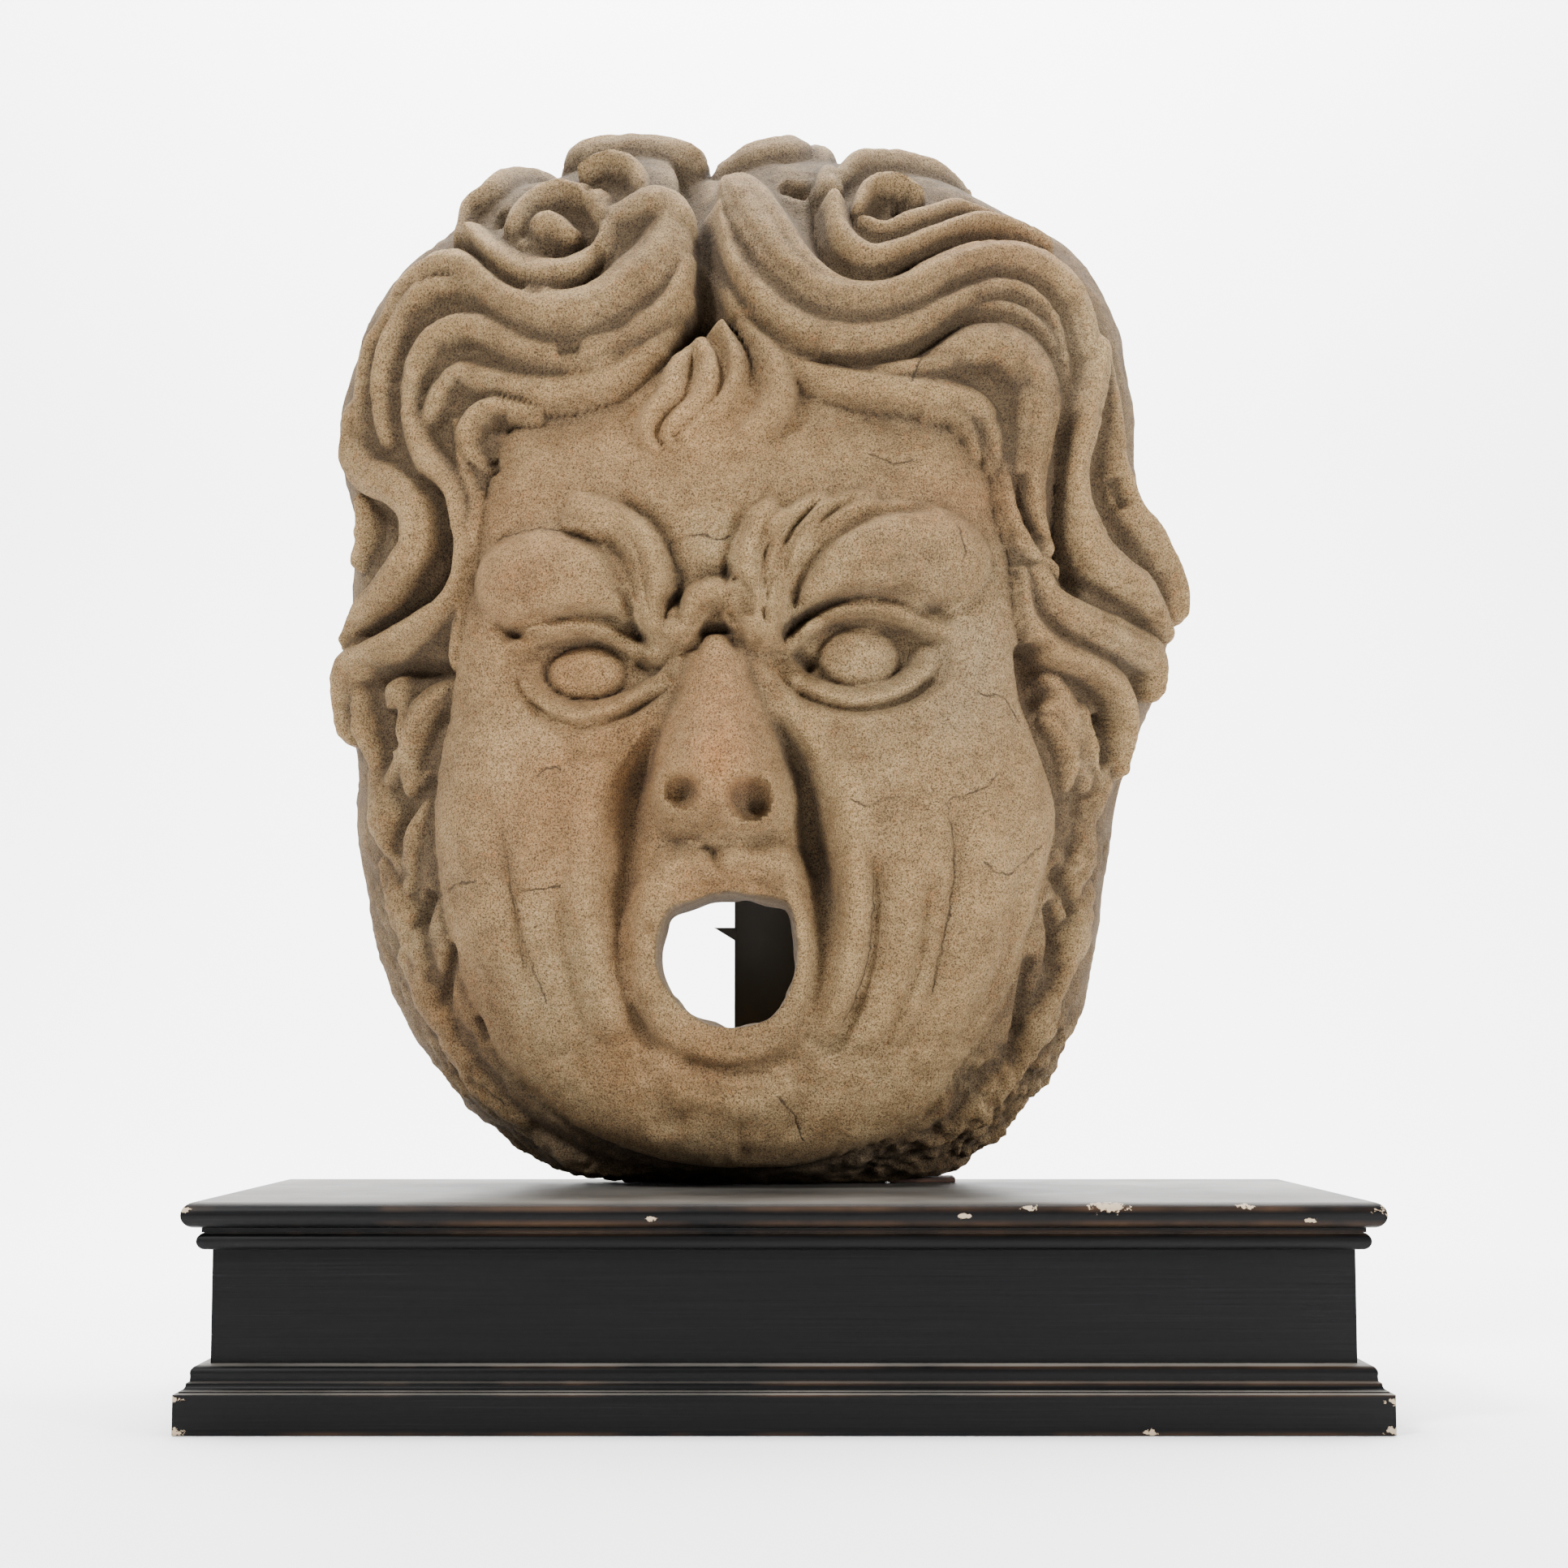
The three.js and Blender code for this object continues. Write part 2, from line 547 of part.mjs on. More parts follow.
// From the drawn stone to its real place and size
const halfWidth = plinthWidth / 2;
const halfDepth = plinthDepth / 2;
const stoneBackY = halfDepth - stoneBackInset;
const growth = stoneHeight / drawn.height;
const footZ = plinthHeight + jointGap;

function place(p) {
  const above = Math.max(p.z - drawn.footZ - jointGap, 0);
  const y = stoneBackY + Math.min(p.y - drawn.backY, 0);
  return new THREE.Vector3(p.x * growth, y, footZ + above * growth);
}

function toManifold(points, triangles) {
  const vertProperties = new Float32Array(points.length * 3);
  points.forEach((p, i) => vertProperties.set([p.x, p.y, p.z], i * 3));
  const mesh = new wasm.Mesh({ numProp: 3, vertProperties, triVerts: new Uint32Array(triangles.flat()) });
  mesh.merge();
  return new wasm.Manifold(mesh);
}

function carvedFront() {
  const side = gridCells + 1;
  const points = nodes.map((node) => {
    const p = node.point.clone().addScaledVector(node.normal, node.height);
    p.y = node.share > 0.9999 ? drawn.backY : Math.min(p.y, drawn.backY - 0.5);
    return place(p);
  });
  const triangles = [];
  for (let j = 0; j < gridCells; j += 1) {
    for (let i = 0; i < gridCells; i += 1) {
      const a = j * side + i;
      const b = a + 1;
      const c = a + side + 1;
      const d = a + side;
      if (points[a].distanceTo(points[c]) < points[b].distanceTo(points[d])) {
        triangles.push([a, b, c], [a, c, d]);
      } else {
        triangles.push([a, b, d], [b, c, d]);
      }
    }
  }
  const rim = [];
  for (let i = 0; i < gridCells; i += 1) rim.push(i);
  for (let j = 0; j < gridCells; j += 1) rim.push(j * side + gridCells);
  for (let i = gridCells; i > 0; i -= 1) rim.push(gridCells * side + i);
  for (let j = gridCells; j > 0; j -= 1) rim.push(j * side);
  const hub = points.length;
  points.push(place(new THREE.Vector3(centre.x, drawn.backY, centre.z)));
  rim.forEach((from, k) => triangles.push([rim[(k + 1) % rim.length], from, hub]));
  return toManifold(points, triangles);
}

// Straight loft between rings that hold the same number of points
function loft(rings) {
  const count = rings[0].length;
  const points = rings.flat();
  const triangles = [];
  for (let k = 1; k < rings.length; k += 1) {
    const from = (k - 1) * count;
    const to = k * count;
    for (let i = 0; i < count; i += 1) {
      const next = (i + 1) % count;
      triangles.push([from + i, from + next, to + next], [from + i, to + next, to + i]);
    }
  }
  const flat = (ring) => {
    const origin = ring[0];
    const u = ring[1].clone().sub(origin).normalize();
    const w = new THREE.Vector3();
    ring.forEach((p, i) => w.add(p.clone().cross(ring[(i + 1) % count])));
    w.normalize();
    const v = w.clone().cross(u);
    return ring.map((p) => new THREE.Vector2(p.clone().sub(origin).dot(u), p.clone().sub(origin).dot(v)));
  };
  THREE.ShapeUtils.triangulateShape(flat(rings[0]), []).forEach(([a, b, c]) => triangles.push([a, c, b]));
  const base = (rings.length - 1) * count;
  THREE.ShapeUtils.triangulateShape(flat(rings[rings.length - 1]), [])
    .forEach(([a, b, c]) => triangles.push([base + a, base + b, base + c]));
  const solid = toManifold(points, triangles);
  if (solid.volume() > 0) return solid;
  return toManifold(points, triangles.map(([a, b, c]) => [a, c, b]));
}

function mouthPassage() {
  const middle = fromSheet(mouthCentre[0], mouthCentre[1], drawn.lipY);
  const floorY = drawn.backY - hollow.depth;
  const ringAt = (y, scale) => mouthEdge.map(([u, v]) => {
    const p = fromSheet(u, v, drawn.lipY).sub(middle).multiplyScalar(scale).add(middle);
    p.y = y;
    return place(p);
  });
  return loft([
    ringAt(drawn.lipY - mouth.pastFront, mouth.flare),
    ringAt(drawn.lipY, 1),
    ringAt(floorY + mouth.pastFloor, mouth.taper),
  ]);
}

function backHollow() {
  const sides = 28;
  const ringAt = (y, inset) => {
    const ring = [];
    for (let i = 0; i < sides; i += 1) {
      const a = (2 * Math.PI * i) / sides;
      const squared = (value) => Math.sign(value) * Math.abs(value) ** hollow.corner;
      ring.push(new THREE.Vector3(
        (hollow.centreX + (hollow.width / 2 - inset) * squared(Math.cos(a))) * growth,
        y,
        footZ + (hollow.centreAboveFoot + (hollow.height / 2 - inset) * squared(Math.sin(a))) * growth,
      ));
    }
    return ring;
  };
  return loft([
    ringAt(stoneBackY + 5, 0),
    ringAt(stoneBackY, 0),
    ringAt(stoneBackY - hollow.depth * 0.75, hollow.draft * 0.5),
    ringAt(stoneBackY - hollow.depth, hollow.draft * 1.8),
  ]);
}

function box(x0, x1, y0, y1, z0, z1) {
  const geometry = new THREE.BoxGeometry(x1 - x0, y1 - y0, z1 - z0);
  geometry.translate((x0 + x1) / 2, (y0 + y1) / 2, (z0 + z1) / 2);
  geometry.deleteAttribute("normal");
  geometry.deleteAttribute("uv");
  const merged = mergeVertices(geometry);
  const position = merged.getAttribute("position");
  const points = [];
  for (let i = 0; i < position.count; i += 1) {
    points.push(new THREE.Vector3().fromBufferAttribute(position, i));
  }
  const corners = Array.from(merged.getIndex().array);
  const triangles = [];
  for (let i = 0; i < corners.length; i += 3) triangles.push(corners.slice(i, i + 3));
  return toManifold(points, triangles);
}

// Plinth pieces
function topBoard() {
  const radius = topBoardThickness / 2;
  const rings = [];
  const steps = 8;
  for (let k = 0; k <= steps; k += 1) {
    const a = -Math.PI / 2 + (Math.PI * k) / steps;
    const inset = radius * (1 - Math.cos(a));
    const z = plinthHeight - radius + radius * Math.sin(a);
    const x = halfWidth - inset;
    const y = halfDepth - inset;
    rings.push([[-x, -y], [x, -y], [x, y], [-x, y]].map(([px, py]) => new THREE.Vector3(px, py, z)));
  }
  return loft(rings);
}

// One side of a mitred frame; the profile holds [distance in from the plinth's edge, height]
function frameSide(profile, turns) {
  const alongX = turns % 2 === 0;
  const length = alongX ? halfWidth : halfDepth;
  const across = alongX ? halfDepth : halfWidth;
  const gap = jointGap * 0.75;
  const end = (sign) => profile.map(([setBack, z]) => new THREE.Vector3(
    sign * (length - setBack - gap),
    -(across - setBack),
    z,
  ));
  const turn = (turns * Math.PI) / 2;
  const up = new THREE.Vector3(0, 0, 1);
  const rings = [end(-1), end(1)].map((ring) => ring.map((p) => p.applyAxisAngle(up, turn)));
  return loft(rings);
}

function arc(centreX, centreZ, radiusX, radiusZ, fromDegrees, toDegrees, steps) {
  const points = [];
  for (let k = 0; k <= steps; k += 1) {
    const a = THREE.MathUtils.degToRad(fromDegrees + ((toDegrees - fromDegrees) * k) / steps);
    points.push([centreX + radiusX * Math.cos(a), centreZ + radiusZ * Math.sin(a)]);
  }
  return points;
}

const underBoard = plinthHeight - topBoardThickness - jointGap;
const friezeProfile = [
  [frieze.setBack, 0], [frieze.setBack, underBoard],
  [frieze.setBack + frieze.thickness, underBoard], [frieze.setBack + frieze.thickness, 0],
];
const planted = frieze.setBack - jointGap;
const bedRadius = (bedMould.height - bedMould.fillet) / 2;
const bedProfile = [
  [planted, underBoard],
  [bedMould.filletSetBack, underBoard],
  [bedMould.filletSetBack, underBoard - bedMould.fillet],
  ...arc(
    bedMould.setBack + bedRadius,
    underBoard - bedMould.fillet - bedRadius,
    bedRadius,
    bedRadius,
    100,
    260,
    6,
  ),
  [planted, underBoard - bedMould.height],
];
const rollRadius = baseMould.rollHeight / 2;
const rollFoot = baseMould.stepHeight + baseMould.stepRise;
const baseProfile = [
  [planted, 0],
  [-baseMould.blockProjection, 0],
  [-baseMould.blockProjection, baseMould.blockHeight],
  [baseMould.chamfer, baseMould.blockHeight + baseMould.chamfer],
  ...arc(baseMould.chamfer, baseMould.stepHeight, baseMould.ovoloDepth, baseMould.ovoloHeight, 270, 360, 3),
  [baseMould.rollSetBack, rollFoot],
  ...arc(baseMould.rollSetBack + rollRadius, rollFoot + rollRadius, rollRadius, rollRadius, 200, 90, 4),
  [planted, baseMould.height],
];

function steelSupport() {
  const front = stoneBackY + jointGap;
  const bottom = plinthHeight + jointGap;
  const footCentre = (post.left + post.right) / 2;
  const plate = box(
    footCentre - foot.width / 2,
    footCentre + foot.width / 2,
    front,
    front + foot.depth,
    bottom,
    bottom + foot.thickness,
  );
  const upright = box(post.left, post.right, front, front + post.depth, bottom + 1, bottom + post.height);
  const tipZ = bottom + lug.aboveFoot * growth;
  const corners = (y) => [
    new THREE.Vector3(post.left - lug.reach, y, tipZ + lug.height / 2),
    new THREE.Vector3(post.left + 2, y, tipZ - lug.height / 2),
    new THREE.Vector3(post.left + 2, y, tipZ + lug.height / 2),
  ];
  return plate.add(upright).add(loft([corners(front), corners(front + lug.thickness)]));
}

function packingWedge() {
  const z = plinthHeight + jointGap;
  const front = stoneBackY - wedge.underStone;
  const back = stoneBackY + wedge.behindStone;
  const side = (x, frontShare) => [
    new THREE.Vector3(x, front, z),
    new THREE.Vector3(x, back, z),
    new THREE.Vector3(x, back, z + wedge.thickness),
    new THREE.Vector3(x, front, z + wedge.thickness * frontShare),
  ];
  return loft([side(wedge.left, 0.7), side(wedge.right, 0.85)]);
}

function stoneMask() {
  const notch = box(
    wedge.left - wedge.clearance,
    wedge.right + wedge.clearance,
    stoneBackY - wedge.underStone - wedge.clearance,
    stoneBackY + wedge.behindStone,
    plinthHeight - wedge.thickness,
    plinthHeight + wedge.thickness + 2 * jointGap,
  );
  return carvedFront().subtract(backHollow()).subtract(mouthPassage()).subtract(notch);
}

// Solids to named meshes
const materials = {
  sandstone: new THREE.MeshStandardMaterial({ color: "#a08a6c", roughness: 0.92, metalness: 0 }),
  blackWood: new THREE.MeshStandardMaterial({ color: "#17171a", roughness: 0.45, metalness: 0 }),
  blackSteel: new THREE.MeshStandardMaterial({ color: "#151517", roughness: 0.55, metalness: 0.4 }),
  brownWood: new THREE.MeshStandardMaterial({ color: "#3a261c", roughness: 0.8, metalness: 0 }),
};

function addPiece(group, name, solid, material) {
  const mesh = solid.getMesh();
  const geometry = new THREE.BufferGeometry();
  const points = new Float32Array(mesh.numVert * 3);
  for (let i = 0; i < mesh.numVert; i += 1) {
    for (let k = 0; k < 3; k += 1) points[i * 3 + k] = mesh.vertProperties[i * mesh.numProp + k];
  }
  geometry.setAttribute("position", new THREE.BufferAttribute(points, 3));
  geometry.setIndex(new THREE.BufferAttribute(new Uint32Array(mesh.triVerts), 1));
  geometry.computeVertexNormals();
  const piece = new THREE.Mesh(geometry, materials[material]);
  piece.name = name;
  group.add(piece);
}

const group = new THREE.Group();
group.name = "fountain_mask";
addPiece(group, "stone_mask", stoneMask(), "sandstone");
addPiece(group, "plinth_top_board", topBoard(), "blackWood");
["front", "right", "back", "left"].forEach((side, turns) => {
  addPiece(group, `frieze_board_${side}`, frameSide(friezeProfile, turns), "blackWood");
  addPiece(group, `bed_moulding_${side}`, frameSide(bedProfile, turns), "blackWood");
  addPiece(group, `base_moulding_${side}`, frameSide(baseProfile, turns), "blackWood");
});
addPiece(group, "steel_support", steelSupport(), "blackSteel");
addPiece(group, "packing_wedge", packingWedge(), "brownWood");

export default group;
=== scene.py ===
# %% [markdown]
# Fountain mask on a black plinth. The mask is carved sandstone: one block, domed in front and
# hollowed behind, with a round mouth for the water. The plinth is painted wood.
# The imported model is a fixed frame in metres, so every piece is built straight into its place.

# %% Load the frame
import math

import bmesh
import bpy
import numpy as np
from mathutils import Matrix, Vector
from mathutils.kdtree import KDTree


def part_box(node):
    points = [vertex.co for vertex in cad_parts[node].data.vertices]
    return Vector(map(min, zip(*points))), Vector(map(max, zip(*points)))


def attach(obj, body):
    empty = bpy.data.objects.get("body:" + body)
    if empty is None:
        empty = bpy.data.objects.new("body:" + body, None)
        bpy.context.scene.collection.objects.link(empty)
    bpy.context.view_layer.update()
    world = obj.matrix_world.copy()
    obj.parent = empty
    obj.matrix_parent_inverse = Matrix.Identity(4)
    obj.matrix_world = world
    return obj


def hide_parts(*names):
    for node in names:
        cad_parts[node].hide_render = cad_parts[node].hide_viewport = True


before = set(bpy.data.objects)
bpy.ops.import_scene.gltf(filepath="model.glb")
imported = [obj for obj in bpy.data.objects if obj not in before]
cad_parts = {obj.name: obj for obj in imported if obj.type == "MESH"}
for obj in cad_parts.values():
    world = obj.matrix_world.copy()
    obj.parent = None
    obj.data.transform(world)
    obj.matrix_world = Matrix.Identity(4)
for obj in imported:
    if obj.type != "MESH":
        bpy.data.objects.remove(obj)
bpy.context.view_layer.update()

MM = 0.001


def box_in_mm(node):
    return [np.array(corner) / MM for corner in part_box(node)]


stone_low, stone_high = box_in_mm("stone_mask")
board_low, board_high = box_in_mm("plinth_top_board")
print("stone", np.round(stone_low), np.round(stone_high))

# %% [markdown]
# Colours are picked as hex values, the way a paint chart gives them, and the shader wants linear
# light, so one function turns them round. Another adds a node: a plain value is typed into its
# socket, a node or a socket is wired to it, and a list fills sockets that share one name. The
# kinds of node all begin with ShaderNode, so that part is left out.

# %% Colours and nodes
def linear(code):
    channels = [int(code[i:i + 2], 16) / 255 for i in (1, 3, 5)]
    bent = [c / 12.92 if c <= 0.04045 else ((c + 0.055) / 1.055) ** 2.4 for c in channels]
    return (*bent, 1.0)


def level(amount):
    return (amount, amount, amount, 1.0)


def cycles(millimetres):
    return 1 / (millimetres * MM)


def add(tree, kind, settings=None, stops=(), **inputs):
    node = tree.nodes.new("ShaderNode" + kind)
    for name, value in (settings or {}).items():
        setattr(node, name, value)
    for index, (position, colour) in enumerate(stops):
        elements = node.color_ramp.elements
        element = elements[index] if index < len(elements) else elements.new(position)
        element.position = position
        element.color = colour
    for name, values in inputs.items():
        label = name.replace("_", " ")
        sockets = [socket for socket in node.inputs if socket.enabled and socket.name == label]
        for socket, value in zip(sockets, values if isinstance(values, list) else [values]):
            if isinstance(value, bpy.types.Node):
                value = next(found for found in value.outputs if found.enabled)
            if isinstance(value, bpy.types.NodeSocket):
                tree.links.new(value, socket)
            else:
                socket.default_value = value
    return node


def new_material(name):
    material = bpy.data.materials.new(name)
    material.use_nodes = True
    tree = material.node_tree
    tree.nodes.clear()
    output = tree.nodes.new("ShaderNodeOutputMaterial")
    where = tree.nodes.new("ShaderNodeTexCoord").outputs["Object"]
    return material, tree, output, where


COLOUR = {"data_type": "RGBA"}
TINT = {"data_type": "RGBA", "blend_type": "MULTIPLY"}
print("white is", linear("#ffffff"))

# %% [markdown]
# The camera stands low and looks slightly up, as a visitor in front of a case would. The same
# station is used to set out the carving: a place on the drawing sheet is a line of sight.

# %% Camera
SHEET_SIDE = 1932
SHEET_MIDDLE = SHEET_SIDE / 2
SHEET_REACH = 3500.0
STATION = np.array([0.0, -2094.0, 244.5])
PITCH = math.radians(5.58)

camera_data = bpy.data.cameras.new("view_camera")
camera_data.sensor_width = 36
camera_data.lens = SHEET_REACH / SHEET_SIDE * camera_data.sensor_width
camera = bpy.data.objects.new("view_camera", camera_data)
camera.location = Vector(STATION * MM)
camera.rotation_euler = (math.pi / 2 + PITCH, 0, 0)
bpy.context.collection.objects.link(camera)
bpy.context.scene.camera = camera
print("lens", round(camera_data.lens, 1), "mm")


# %% Drawing sheet
def to_sheet(points):
    ahead = points[..., 1] - STATION[1]
    above = points[..., 2] - STATION[2]
    depth = ahead * math.cos(PITCH) + above * math.sin(PITCH)
    rise = above * math.cos(PITCH) - ahead * math.sin(PITCH)
    across = SHEET_MIDDLE + SHEET_REACH * (points[..., 0] - STATION[0]) / depth
    return np.stack([across, SHEET_MIDDLE - SHEET_REACH * rise / depth], -1)


def from_sheet(u, v, depth_y):
    across = (np.asarray(u, float) - SHEET_MIDDLE) / SHEET_REACH
    up = (SHEET_MIDDLE - np.asarray(v, float)) / SHEET_REACH
    steps = (depth_y - STATION[1]) / (math.cos(PITCH) - up * math.sin(PITCH))
    rise = math.sin(PITCH) + up * math.cos(PITCH)
    flat = np.full_like(across, depth_y)
    return np.stack([STATION[0] + steps * across, flat, STATION[2] + steps * rise], -1)


print("sheet middle at the face", np.round(from_sheet(SHEET_MIDDLE, SHEET_MIDDLE, 0.0)), "mm")

# %% [markdown]
# A carver starts from a blank with the right outline and a rounded front. The outline is drawn
# as places on the sheet, with a smooth line through them, and set back to the depth where the
# stone is widest.

# %% Outline of the stone
FACE_MIDDLE = (925, 800)
MIDDLE_DEPTH = -40.0
OUTLINE_DEPTH = 80.0
OUTLINE = [
    (880, 224), (960, 200), (1060, 206), (1160, 224), (1240, 262), (1325, 306), (1387, 385), (1412, 475),
    (1416, 565), (1438, 655), (1462, 745), (1446, 840), (1412, 920), (1388, 1000), (1378, 1080),
    (1366, 1170), (1344, 1262), (1306, 1340), (1250, 1400), (1180, 1455), (1040, 1475), (930, 1478),
    (820, 1475), (708, 1462), (624, 1425), (556, 1368), (494, 1282), (454, 1190), (434, 1100), (422, 1010),
    (420, 930), (414, 870), (414, 800), (416, 720), (420, 640), (402, 560), (406, 480), (438, 392),
    (496, 322), (562, 276), (612, 236), (690, 220), (740, 196), (810, 194),
]


def smooth_line(points, closed=False, steps=8):
    points = np.asarray(points, float)
    if closed:
        padded = np.vstack([points[-1:], points, points[:2]])
    else:
        padded = np.vstack([2 * points[:1] - points[1:2], points, 2 * points[-1:] - points[-2:-1]])
    share = np.linspace(0, 1, steps, endpoint=False)[:, None]
    pieces = []
    for a, b, c, d in zip(padded, padded[1:], padded[2:], padded[3:]):
        bend = 2 * a - 5 * b + 4 * c - d
        twist = 3 * b - a - 3 * c + d
        pieces.append(0.5 * (2 * b + (c - a) * share + bend * share ** 2 + twist * share ** 3))
    pieces.append(points[:1] if closed else points[-1:])
    return np.vstack(pieces)


face_centre = from_sheet(*FACE_MIDDLE, MIDDLE_DEPTH)
rim = from_sheet(*smooth_line(OUTLINE, closed=True, steps=16).T, OUTLINE_DEPTH)
rim_angle = np.arctan2(rim[:, 2] - face_centre[2], rim[:, 0] - face_centre[0])
rim_radius = np.hypot(rim[:, 2] - face_centre[2], rim[:, 0] - face_centre[0])
order = np.argsort(rim_angle)
print("outline radius from", round(rim_radius.min()), "to", round(rim_radius.max()), "mm")

# %% [markdown]
# Here the blank is a square grid wrapped over a dome, so its cells stay even from the nose to
# the rim. A sphere would crowd them at its poles, and a flat sheet would stretch them down the
# sides. A table of the length walked over the dome spaces the cells.

# %% Dome of the blank
CELLS = 304
STONE_DEPTH = 185.0
BACK_INSET = 54.0
BACK_Y = board_high[1] - BACK_INSET
FOOT_Z = stone_low[2]
DOME_POWER = 2.6
USUAL_RADIUS = 340

walk = np.linspace(0, math.pi / 2, 2001)
walk_out = np.sin(walk) ** (2 / DOME_POWER)
walk_back = 1 - np.cos(walk) ** (2 / DOME_POWER)
walk_steps = np.hypot(np.diff(walk_out) * USUAL_RADIUS, np.diff(walk_back) * STONE_DEPTH)
walk_length = np.concatenate([[0], np.cumsum(walk_steps)])
walk_length /= walk_length[-1]


def blank_points(angle, share):
    radius = np.interp(angle, rim_angle[order], rim_radius[order], period=2 * math.pi)
    radius = radius * np.interp(share, walk_length, walk_out)
    drop = np.interp(share, walk_length, walk_back)
    return np.stack([
        face_centre[0] + radius * np.cos(angle),
        BACK_Y - STONE_DEPTH * (1 - drop),
        face_centre[2] + radius * np.sin(angle),
    ], -1)


print("dome", STONE_DEPTH, "mm deep, back at y", round(BACK_Y, 1))


# %% Grid on the dome
def square_to_disc(a, b):
    ring = np.maximum(abs(a), abs(b))
    wide = abs(a) >= abs(b)
    safe_a = np.where(a == 0, 1, a)
    safe_b = np.where(b == 0, 1, b)
    side = np.where(a >= 0, 0, math.pi) + math.pi / 4 * b / safe_a
    upright = np.where(b >= 0, 1, -1) * math.pi / 2 - math.pi / 4 * a / safe_b
    return np.where(wide, side, upright), ring


def grid_normals(points):
    across = np.gradient(points, axis=1)
    down = np.gradient(points, axis=0)
    normal = np.cross(across, down)
    normal /= np.linalg.norm(normal, axis=-1, keepdims=True) + 1e-12
    middle = normal.shape[0] // 2
    return -normal if normal[middle, middle, 1] > 0 else normal


CELL_EVENNESS = 0.78
USUAL_HEIGHT = 10

cells = np.linspace(-1, 1, CELLS + 1)
angle, ring = square_to_disc(*np.meshgrid(cells, cells))
blank = blank_points(angle, CELL_EVENNESS * ring + (1 - CELL_EVENNESS) * ring ** 3)
P = blank.reshape(-1, 3)
N = grid_normals(blank).reshape(-1, 3)
SEEN = to_sheet(P + USUAL_HEIGHT * N)
print("blank points", len(P))

# %% [markdown]
# Every form is laid on the blank from the drawing: a lock of hair, a fold and a groove are lines
# with a width and a height, a cheek and a brow are swells. A sheet place first finds the point
# of the blank that is seen there, then distances are measured on the stone itself, so a lock
# keeps its width round the side of the head. Fields of height are cheaper than sculpting tools
# and give the same result on each run.

# %% Places and lines on the blank
TURNED_AWAY = 0.35
OUT_OF_REACH = 1e7
LARGEST_NUDGE = 4.0


def seat(places, lift):
    seen = to_sheet(P + lift * N)
    hidden = np.where(N[:, 1] > TURNED_AWAY, OUT_OF_REACH, 0)
    found = []
    for u, v in places:
        nearest = int(np.argmin((seen[:, 0] - u) ** 2 + (seen[:, 1] - v) ** 2 + hidden))
        span = (P[nearest, 1] - STATION[1]) / SHEET_REACH
        shift = np.array([(u - seen[nearest, 0]) * span, 0, (seen[nearest, 1] - v) * span])
        shift *= min(1.0, LARGEST_NUDGE / (np.linalg.norm(shift) + 1e-9))
        found.append(P[nearest] + shift)
    return np.array(found)


def along(places, lift, reach, closed=False):
    places = list(places) + ([places[0]] if closed else [])
    line = smooth_line(seat(places, lift))
    near = np.nonzero(np.all((P > line.min(0) - reach) & (P < line.max(0) + reach), axis=1))[0]
    points = P[near]
    run = np.concatenate([[0], np.cumsum(np.linalg.norm(np.diff(line, axis=0), axis=1))])
    gap = np.full(len(near), 1e18)
    share_run = np.zeros(len(near))
    side = np.zeros(len(near))
    for k in range(len(line) - 1):
        step = line[k + 1] - line[k]
        length_squared = step @ step
        if length_squared < 1e-9:
            continue
        t = np.clip((points - line[k]) @ step / length_squared, 0, 1)
        away = points - line[k] - t[:, None] * step
        distance = (away ** 2).sum(1)
        closer = distance < gap
        gap = np.where(closer, distance, gap)
        share_run = np.where(closer, (run[k] + t * math.sqrt(length_squared)) / run[-1], share_run)
        side = np.where(closer, np.sign(step[0] * away[:, 2] - step[2] * away[:, 0]), side)
    return near, np.sqrt(gap), share_run, side


print("middle of the face sits at", np.round(seat([FACE_MIDDLE], 0)[0]), "mm")


# %% Carving tools
def ends(share_run, sharpness=8, closed=False):
    return 1.0 if closed else np.sqrt(np.clip(np.minimum(share_run, 1 - share_run) * sharpness, 0, 1))


def valued(values, share_run):
    return np.interp(share_run, np.linspace(0, 1, len(values)), values)


def line_form(height, half_width, rise, places, closed=False, lift=10, steep=2):
    half_widths, rises = np.atleast_1d(half_width), np.atleast_1d(rise)
    near, gap, run, _ = along(places, lift, max(half_widths) * 2.6, closed)
    section = np.exp(-(gap / valued(half_widths, run)) ** steep)
    height[near] += valued(rises, run) * section * ends(run, closed=closed)


def roll_form(height, half_width, rise, places, closed=False, lift=10):
    near, gap, run, _ = along(places, lift, half_width * 1.1, closed)
    height[near] += rise * ends(run, closed=closed) * np.sqrt(np.clip(1 - (gap / half_width) ** 2, 0, 1))


def swell(place, radius_x, radius_z, rise, turn=0, power=2, fall=1.0, lift=10):
    middle = seat([place], lift)[0]
    dx = P[:, 0] - middle[0]
    dz = P[:, 2] - middle[2]
    turn = math.radians(turn)
    a = (dx * math.cos(turn) + dz * math.sin(turn)) / radius_x
    b = (dz * math.cos(turn) - dx * math.sin(turn)) / radius_z
    return rise * np.clip(1 - np.hypot(a, b) ** power, 0, 1) ** fall


print("tools: line, roll and swell")

# %% [markdown]
# Two more helpers join the forms. A soft maximum lets one form ride over another without a
# crease, and the even-odd rule says which points lie inside a closed line on the sheet.

# %% Joining forms
def smooth_max(a, b, softness):
    mix = np.clip(0.5 + 0.5 * (b - a) / softness, 0, 1)
    return a * (1 - mix) + b * mix + softness * mix * (1 - mix)


def inside(line, places):
    x, y = places[:, 0], places[:, 1]
    result = np.zeros(len(places), bool)
    for (ax, ay), (bx, by) in zip(line, np.roll(line, -1, axis=0)):
        crosses = (ay > y) != (by > y)
        result ^= crosses & (x < (bx - ax) * (y - ay) / (by - ay + 1e-12) + ax)
    return result


def fade(start, end):
    return np.clip((SEEN[:, 1] - start) / (end - start), 0, 1)


print("points in the upper half", int((fade(900, 700) > 0.5).sum()))

